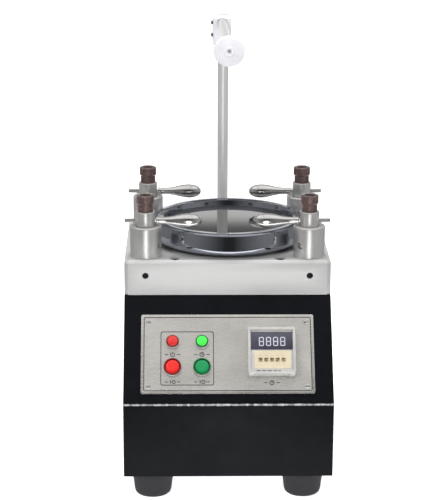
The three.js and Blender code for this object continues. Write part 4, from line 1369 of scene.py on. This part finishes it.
@dataclass
class TopBlock:
    """The milled block that carries the posts and the spindle."""

    finishes: Palette
    chamfer: float = 3.0
    corner: float = 4.0
    bore: float = 38.3
    screw_place: tuple[float, float] = (53.5, 75.0)
    screw_bore: float = 5.1
    set_screw_radius: float = 3.3
    set_screw_drop: float = 16.0
    counterbore: float = 6.5

    def build(self) -> None:
        """Makes the block, its screws and what shows inside it."""
        low, high = span("top_block")
        centre_y = middle("platen").y
        block = Form.box(low, high)
        upright = block.edges_where(lambda mid, way: abs(way.z) > 0.9)
        block.round_edges(upright, self.corner, 1)
        rim = block.edges_where(lambda mid, way: mid.z > high.z - 0.01 and abs(way.z) < 0.1)
        block.round_edges(rim, self.chamfer, 1)
        block.soften(0.25, 2, 20)
        x, y = self.screw_place
        tops = [(side * x, centre_y + end * y) for side in (-1, 1) for end in (-1, 1)]
        seat = high.z - self.counterbore
        tools = [Form.rod(self.screw_bore, seat, high.z + 2).move(at(*place, 0)) for place in tops]
        tools.append(Form.rod(self.bore, low.z - 1, high.z + 2, TURNED_STEPS).move(
            at(0, centre_y, 0)))
        sides = []
        for corner in CORNERS:
            post = middle(f"post_base_{corner}")
            face, out = (low.y, -1) if post.y < centre_y else (high.y, 1)
            sides.append((post.x, face, out))
            tools.append(Form.rod(self.set_screw_radius, -14, 1).move(
                facing((post.x, face, high.z - self.set_screw_drop), (0, out, 0))))
        block.cut(*tools)
        block.piece("milled_block", "base", self.finishes.block, slot="block_aluminium",
                    stands_for=("top_block",))
        heads = [at(*place, seat + 0.1) for place in tops]
        screws(Screw(4.7, 5.0, Drive.HEX), heads).piece("block_screws", "base", self.finishes.dark)
        grubs = [facing((x, face - out * 5.0, high.z - self.set_screw_drop), (0, out, 0))
                 for x, face, out in sides]
        screws(Screw(3.1, 3.0, Drive.HEX), grubs).piece("block_grub_screws", "base",
                                                         self.finishes.dark)


@dataclass
class Platen:
    """The orbiting platen with its rim, recess and mirror plate."""

    finishes: Palette
    notch: float = 0.7
    notch_x: float = 0.9

    def build(self) -> None:
        """Makes the platen and its mirror plate."""
        low, high = span("platen")
        radius = (high.x - low.x) / 2
        mirror_low, mirror_high = span("mirror_plate")
        recess = (mirror_high.x - mirror_low.x) / 2 + 0.3
        centre = (low + high) / 2
        floor = mirror_low.z - 0.1
        top = high.z
        outline = [(0, low.z), (radius - 5.6, low.z), (radius - 3.4, low.z + 0.8),
                   (radius - 1.7, low.z + 2.4), (radius - 0.6, low.z + 4.8), (radius, low.z + 8.0),
                   (radius, top - 6.4), (radius - 0.4, top - 4.2), (radius - 1.1, top - 2.2),
                   (radius - 1.8, top - 1.0), (radius - 2.3, top - 0.45), (radius - 2.9, top - 0.1),
                   (radius - 3.4, top), (recess + 1.1, top), (recess + 0.4, top - 0.25),
                   (recess, top - 0.9), (recess, floor), (0, floor)]
        form = Form.turned(outline, 2 * TURNED_STEPS)
        form.round_edges(form.edges_where(
            lambda mid, way: mid.z < floor + 0.01 and abs(mid.xy.length - recess) < 0.2), 0.2, 2)
        form.move(at(centre.x, centre.y, 0))
        half = self.notch / 2
        slit = Form.box((-half, low.y - 5, top - 1.2), (half, centre.y - recess + 1, top + 2))
        form.cut(slit.move(at(self.notch_x, 0, 0)))
        form.piece("platen_disc", "platen", self.finishes.chrome, slot="platen_chrome",
                   stands_for=("platen",))
        low_z, high_z = mirror_low.z, mirror_high.z
        face = [(0, low_z), (recess - 0.3, low_z), (recess - 0.3, high_z - 0.4),
                (recess - 0.7, high_z), (0, high_z)]
        Form.turned(face, 2 * TURNED_STEPS).move(at(centre.x, centre.y, 0)).piece(
            "mirror_disc", "platen", self.finishes.mirror, slot="mirror_face",
            stands_for=("mirror_plate",))


# ---------------------------------------------------------------- corner posts


@dataclass
class CornerPost:
    """One corner's post, head, handle and knob; the side screw's angle is from +X."""

    finishes: Palette
    corner: str
    screw_angle: float
    screw_height: float = 13.0
    screw_bore: float = 3.4
    stud_radius: float = 2.4
    thread_pitch: float = 1.1
    knurls: int = 44
    drawn_reach: float = 57.4

    def build(self) -> None:
        """Makes the corner's pieces."""
        base = span(f"post_base_{self.corner}")
        self.block_top = span("top_block")[1].z
        self.centre = (base[0] + base[1]) / 2
        self.radius = (base[1].x - base[0].x) / 2
        self.post_top = base[1].z
        self.inward = 1 if self.centre.x < 0 else -1
        self.post()
        self.head()
        self.handle()
        self.knob()

    def put(self, form: Form) -> Form:
        """Moves a form from the post's axis at height 0 to its place."""
        return form.move(at(self.centre.x, self.centre.y, 0))

    def post(self) -> None:
        """The turned post with its side hole and screw."""
        low, radius, top = self.block_top + CLEARANCE, self.radius, self.post_top
        form = Form.turned([(0, low), (radius - 0.4, low), (radius, low + 0.4), (radius, top - 1.0),
                            (radius - 1.0, top), (10.4, top), (10.4, top - 0.8), (0, top - 0.8)])
        aim = Vector((math.cos(math.radians(self.screw_angle)),
                      math.sin(math.radians(self.screw_angle)), 0))
        height = self.block_top + self.screw_height
        hole = Form.rod(self.screw_bore, 0, 30).move(facing((0, 0, height), aim))
        form.soften(0.2, 2, 40)
        self.put(form.cut(hole)).piece(f"post_{self.corner}", "base", self.finishes.post,
                                       slot="post_steel", stands_for=(f"post_base_{self.corner}",))
        seat = aim * (radius - 4.2)
        grub = screws(Screw(3.0, 2.2, Drive.SLOT, True), [facing((seat.x, seat.y, height), aim)])
        self.put(grub).piece(f"post_screw_{self.corner}", "base", self.finishes.bright)

    def head(self) -> None:
        """The turning head, bored across for the handle's stud."""
        low, high = span(f"post_head_{self.corner}")
        radius = (high.x - low.x) / 2
        bottom = self.post_top - 0.75
        stud = middle(f"lever_{self.corner}").z
        form = Form.turned([(0, bottom), (radius, bottom), (radius, high.z - 0.6),
                            (radius - 0.6, high.z), (0, high.z)])
        bore = Form.rod(self.stud_radius + 0.3, -20, 20).move(at(0, 0, stud) @ turn(90, "Y"))
        well = Form.rod(4.6, high.z - 6.5, high.z + 1)
        form.soften(0.15, 2, 40).cut(bore).cut(well)
        self.put(form).piece(f"head_{self.corner}", f"head_{self.corner}", self.finishes.post,
                             slot="post_steel", stands_for=(f"post_head_{self.corner}",))

    def handle(self) -> None:
        """The handle and its stud, threaded where it comes out of the far side."""
        low, high = span(f"lever_{self.corner}")
        reach = high.x - self.centre.x if self.inward > 0 else self.centre.x - low.x
        tail = (high.x - low.x) - reach
        swell = [(3.9, 11.2), (4.05, 11.9), (3.75, 13.2), (3.6, 16), (3.7, 20), (4.1, 24.5),
                 (4.9, 29), (5.9, 33), (6.75, 37), (7.25, 41), (7.35, 44), (7.1, 47.5),
                 (6.5, 50.5), (5.5, 53.2), (4.2, 55.4), (2.6, 56.8), (1.2, 57.3)]
        stretch = reach / self.drawn_reach
        shaft = self.stud_radius
        outline = [(0, 8), (shaft, 8), (shaft, 11.0), (3.5, 11.05)]
        outline += [(radius, x * stretch) for radius, x in swell] + [(0, reach)]
        form = Form.turned(outline, 64)
        threads = [(0, 8.5), (shaft, 8.5), (shaft, -8.0)]
        turns = int((tail - 9.6) / self.thread_pitch)
        for index in range(turns):
            start = -9.8 - index * self.thread_pitch
            threads += [(shaft, start), (shaft - 0.38, start - self.thread_pitch * 0.5),
                        (shaft, start - self.thread_pitch)]
        threads += [(shaft - 0.5, -tail), (0, -tail)]
        form.join(Form.turned(threads, SMALL_STEPS)).move(turn(90, "Y"))
        if self.inward < 0:
            form.move(turn(180, "Z"))
        height = (low.z + high.z) / 2
        self.put(form.move(at(0, 0, height))).piece(
            f"handle_{self.corner}", f"head_{self.corner}", self.finishes.handle,
            slot="handle_chrome", stands_for=(f"lever_{self.corner}",))

    def knob(self) -> None:
        """The knurled knob, hollow at the top, with its top rim in a paler bronze."""
        low, high = span(f"knob_{self.corner}")
        top = high.z
        radius = (high.x - low.x) / 2
        head_top = span(f"post_head_{self.corner}")[1].z
        bottom = head_top + 0.2
        waist, flange = radius - 1.1, top - 8.3
        outline = [(0, low.z), (4.2, low.z), (4.2, bottom), (waist - 0.3, bottom),
                   (waist, bottom + 0.3), (waist, flange - 1.2), (radius, flange),
                   (radius, top - 1.0), (radius - 0.7, top - 0.2), (radius - 1.3, top),
                   (5.9, top), (5.4, top - 0.5), (5.2, top - 6), (0, top - 6.4)]
        form = Form.turned(outline, self.knurls)
        grip = [face for face in form.bm.faces
                if abs(face.normal.z) < 0.1 and face.calc_center_median().xy.length > waist - 0.2
                and face.calc_center_median().z > bottom]
        bmesh.ops.inset_individual(form.bm, faces=grip, thickness=0.22, depth=-0.32)
        form.paint(1, lambda face: face.calc_center_median().z > top - 0.3)
        self.put(form).piece(f"knurled_knob_{self.corner}", f"knob_{self.corner}",
                             self.finishes.bronze, self.finishes.bronze_edge, slot="knob_bronze",
                             stands_for=(f"knob_{self.corner}",), sharp=20)


# ---------------------------------------------------------------- cable stand


@dataclass
class CableStand:
    """The rod behind the platen with its clamp, arm and disc."""

    finishes: Palette
    clamp_screw_radius: float = 1.9
    clamp_screw_rise: tuple[float, float] = (7.7, 21.1)
    clamp_width: float = 19.0
    clamp_back: float = 11.0
    clamp_front: float = -22.0
    arm_aside: float = -1.7
    disc_thickness: float = 9.0

    def build(self) -> None:
        """Makes the stand's pieces."""
        self.bracket()
        low, high = span("stand_rod")
        centre, radius = (low + high) / 2, (high.x - low.x) / 2
        Form.turned([(0, low.z), (radius, low.z), (radius, high.z - 0.7), (radius - 0.7, high.z),
                     (0, high.z)], 64).move(at(centre.x, centre.y, 0)).piece(
            "ground_rod", "stand_rod", self.finishes.rod, slot="rod_steel",
            stands_for=("stand_rod",))
        self.rod_centre = centre
        self.rod_radius = radius
        self.head()

    def bracket(self) -> None:
        """The bracket on the block's back, with its two screws."""
        low, high = span("rod_bracket")
        rod = middle("stand_rod")
        form = Form.box((low.x, low.y - 0.2, low.z), high).soften(1.2, 3)
        bore = Form.rod(6.05, low.z + 3, high.z + 2).move(at(rod.x, rod.y, 0))
        form.cut(bore).piece("rod_holder", "base", self.finishes.block, slot="block_aluminium",
                             stands_for=("rod_bracket",))
        mid_z = (low.z + high.z) / 2
        places = [facing((rod.x + side * 14.5, high.y - 1.2, mid_z), (0, 1, 0)) for side in (-1, 1)]
        screws(Screw(3.4, 1.2, Drive.HEX), places).piece("holder_screws", "base",
                                                          self.finishes.dark)

    def head(self) -> None:
        """The clamp with its two side screws, the arm and the disc on its end."""
        low, high = span("stand_clamp")
        arm_low, arm_high = span("stand_arm")
        arm_z = (arm_low.z + arm_high.z) / 2
        arm_radius = (arm_high.z - arm_low.z) / 2
        own = at(self.rod_centre.x, self.rod_centre.y, 0) @ turn(ARM_LEAN, "Z")
        half, aside = self.clamp_width / 2, self.arm_aside
        clamp = Form.box((aside - half, self.clamp_front, low.z),
                         (aside + half, self.clamp_back, high.z)).soften(1.1, 3)
        clamp.cut(Form.rod(self.rod_radius + 0.2, low.z - 1, high.z + 1))
        sleeve = Form.rod(arm_radius + 0.2, 7.0, 40).move(at(aside, 0, arm_z) @ turn(90, "X"))
        clamp.cut(sleeve).move(own)
        clamp.piece("clamp_block", "stand_top", self.finishes.acetal, slot="white_plastic",
                    stands_for=("stand_clamp",))
        places = [own @ facing((aside - half, -1.0, low.z + rise), (-1, 0, 0))
                  for rise in self.clamp_screw_rise]
        screws(Screw(self.clamp_screw_radius, 1.8, Drive.HEX), places).piece(
            "clamp_screws", "stand_top", self.finishes.dark)
        disc_low, disc_high = span("stand_disc")
        tip = self.rod_centre.y - disc_low.y
        radius = (disc_high.z - disc_low.z) / 2
        forward = own @ at(aside, 0, arm_z) @ turn(90, "X")
        arm = Form.turned([(0, 7.3), (arm_radius - 0.4, 7.3), (arm_radius, 7.7),
                           (arm_radius, tip - 4.3), (0, tip - 4.3)], 64)
        arm.move(forward).piece("ground_arm", "stand_top", self.finishes.arm, slot="rod_steel",
                                stands_for=("stand_arm",))
        back = tip - self.disc_thickness
        outline = [(arm_radius + 0.15, tip - 4.2), (arm_radius + 0.15, back), (radius - 1.2, back),
                   (radius - 0.3, back + 0.4), (radius, back + 1.3), (radius, tip - 2.6),
                   (radius - 0.4, tip - 1.6), (radius - 1.3, tip - 1.05), (5.4, tip - 1.0),
                   (5.0, tip - 0.8), (4.8, tip - 0.1), (4.6, tip), (2.7, tip), (2.5, tip - 0.2),
                   (2.4, tip - 1.4), (0, tip - 1.4), (0, tip - 4.2)]
        Form.turned(outline, TURNED_STEPS, True).move(forward).piece(
            "cable_disc", "stand_top", self.finishes.acetal, slot="white_plastic",
            stands_for=("stand_disc",))
        screws(Screw(1.4, 1.1, Drive.SLOT, True), [forward @ at(0, 0, tip - 1.35)]).piece(
            "hub_screw", "stand_top", self.finishes.zinc, slot="screw_steel",
            stands_for=("disc_screw",))


# ---------------------------------------------------------------- drive inside the cabinet


@dataclass
class InnerDrive:
    """What lies inside: it keeps the frame's own shapes and takes its finishes."""

    finishes: Palette

    def build(self) -> None:
        """Dresses each inner node."""
        finishes = self.finishes
        for finish, nodes in (
            (finishes.block, ("spindle_housing",)),
            (finishes.gear, ("upper_bearing", "lower_bearing", "eccentric_bearing", "ring_gear",
                             "platen_shaft", "crank_spindle")),
            (finishes.zinc, ("spindle_pulley", "motor_pulley", "motor_bracket", "power_supply")),
            (finishes.belt, ("drive_belt",)),
            (finishes.motor, ("motor",)),
        ):
            for node in nodes:
                dress(node, finish)


# ---------------------------------------------------------------- floor, lights and camera


@dataclass(frozen=True)
class Lamp:
    """A soft rectangular light, aimed at a point."""

    name: str
    place: Point
    aim: Point
    size: tuple[float, float]
    watts: float
    mirrored: bool = False
    spared: str = ""

    def build(self) -> None:
        """Makes the light, which leaves out the piece that it spares."""
        data = bpy.data.lights.new(self.name, "AREA")
        data.shape, data.size, data.size_y = "RECTANGLE", *self.size
        data.energy = self.watts
        made = bpy.data.objects.new(self.name, data)
        bpy.context.scene.collection.objects.link(made)
        made.visible_glossy = self.mirrored
        made.location = self.place
        aim = Vector(self.aim) - Vector(self.place)
        made.rotation_euler = aim.to_track_quat("-Z", "Y").to_euler()
        if self.spared:
            left_out = bpy.data.collections.new(f"not lit by {self.name}")
            left_out.objects.link(bpy.data.objects[self.spared])
            left_out.collection_objects[0].light_linking.link_state = "EXCLUDE"
            made.light_linking.receiver_collection = left_out


@dataclass
class Studio:
    """A pale floor, soft light and the camera; angles are in degrees."""

    eye: Point = (-0.0412, -1.7105, 0.7138)
    pitch: float = 15.914
    yaw: float = 1.241
    roll: float = -0.274
    lens: float = 122.53
    horizon: float = 0.9
    overhead: float = 0.8
    left: float = 0.26
    right: float = 0.3
    backdrop_top: float = 0.258
    backdrop_blur: float = 0.003
    above: float = 0.12
    seen_boost: float = 2.0
    room: float = 0.04
    floor_front: float = -0.29
    floor_back: float = 9.0
    floor_width: float = 0.8

    def build(self) -> None:
        """Makes the studio."""
        self.floor()
        self.sky()
        self.camera()
        for lamp in (
            Lamp("key_light", (-0.75, -1.35, 1.35), (0, 0, 0.2), (0.7, 0.9), 18.0),
            Lamp("fill_light", (1.2, -1.2, 0.8), (0, 0, 0.2), (0.5, 0.9), 9.0),
            Lamp("top_light", (0.0, 0.15, 1.5), (0, 0, 0.2), (0.9, 0.35), 14.0),
            Lamp("front_strip", (0.02, -1.62, -0.15), (0, 0, 0.25), (0.5, 1.1), 5.5, True,
                 "platen_disc"),
        ):
            lamp.build()
        bpy.context.scene.view_settings.view_transform = "Standard"

    def floor(self) -> None:
        """A plain pale floor."""
        form = Form()
        bmesh.ops.create_grid(form.bm, x_segments=1, y_segments=1, size=0.5)
        length = self.floor_back - self.floor_front
        form.move(at(0, self.floor_front + length / 2, 0)
                  @ Matrix.Diagonal((self.floor_width, length, 1, 1)))
        made = form._object("floor")
        finish = Moulded("floor_pale", (0.92, 0.92, 0.92), (0.91, 0.91, 0.91), 0.8,
                         texture_size=3.0, texture_depth=0.0, gloss=0.1, glow=0.75)
        made.data.materials.append(finish.material())

    def sky(self) -> None:
        """A white backdrop behind a dark room with a dim ceiling."""
        world = bpy.data.worlds.new("surround")
        bpy.context.scene.world = world
        world.use_nodes = True
        nodes = Nodes(world.node_tree)
        way = nodes.node("ShaderNodeTexCoord", output="Generated")
        across = nodes.node("ShaderNodeSeparateXYZ", inputs={0: way})
        depth = Wire(nodes, across.socket.node.outputs["Y"])
        height = Wire(nodes, across.socket.node.outputs["Z"])
        behind = nodes.spread(depth, 0.78, 0.92)
        upward = nodes.spread(height, 0.6, 0.85, 0.0, self.overhead)
        side = (nodes.spread(across, -0.1, -0.8, 0.0, self.left)
                + nodes.spread(across, 0.1, 0.8, 0.0, self.right))
        edge, blur = self.backdrop_top, self.backdrop_blur
        backdrop = nodes.spread(height, edge - blur, edge + blur, self.horizon, self.above)
        given = self.room + upward + side + behind * backdrop
        seen = nodes.node("ShaderNodeLightPath", output="Is Camera Ray")
        nodes.show("ShaderNodeOutputWorld", nodes.node("ShaderNodeBackground", inputs={
            "Strength": given + seen * self.seen_boost, "Color": (1.0, 1.0, 1.0)}))

    def camera(self) -> None:
        """The camera, at its measured place and angle."""
        pitch, yaw, roll = (math.radians(angle) for angle in (self.pitch, self.yaw, self.roll))
        ahead = Vector((math.sin(yaw) * math.cos(pitch), math.cos(yaw) * math.cos(pitch),
                        -math.sin(pitch)))
        level = Vector((math.cos(yaw), -math.sin(yaw), 0))
        down = ahead.cross(level)
        right = level * math.cos(roll) + down * math.sin(roll)
        below = down * math.cos(roll) - level * math.sin(roll)
        data = bpy.data.cameras.new("camera")
        data.lens, data.sensor_width, data.sensor_fit = self.lens, 36.0, "AUTO"
        data.clip_start, data.clip_end = 0.05, 50.0
        made = bpy.data.objects.new("camera", data)
        bpy.context.scene.collection.objects.link(made)
        turned = Matrix((right, -below, -ahead)).transposed().to_4x4()
        made.matrix_world = Matrix.Translation(self.eye) @ turned
        bpy.context.scene.camera = made


# ---------------------------------------------------------------- the whole machine


def main() -> None:
    """Builds every sub-assembly in order."""
    logging.basicConfig(level=logging.INFO, format="%(name)s: %(message)s")
    panel = Panel.from_frame()
    front = span("housing_shell")[0].y
    paint = SheetPaint("black_powder_coat", (0.0042, 0.0048, 0.0066), (0.0029, 0.0034, 0.0046), 0.4,
                       fold=(0.0, front * MM, panel.fold_height() * MM))
    finishes = Palette(paint)
    prints = Print()
    Cabinet(finishes, panel).build()
    ControlPanel(finishes, panel, prints).build()
    TimerUnit(finishes, panel, prints).build()
    TopBlock(finishes).build()
    Platen(finishes).build()
    for corner, angle in CORNERS.items():
        CornerPost(finishes, corner, angle).build()
    CableStand(finishes).build()
    InnerDrive(finishes).build()
    Studio().build()


if __name__ == "__main__":
    main()
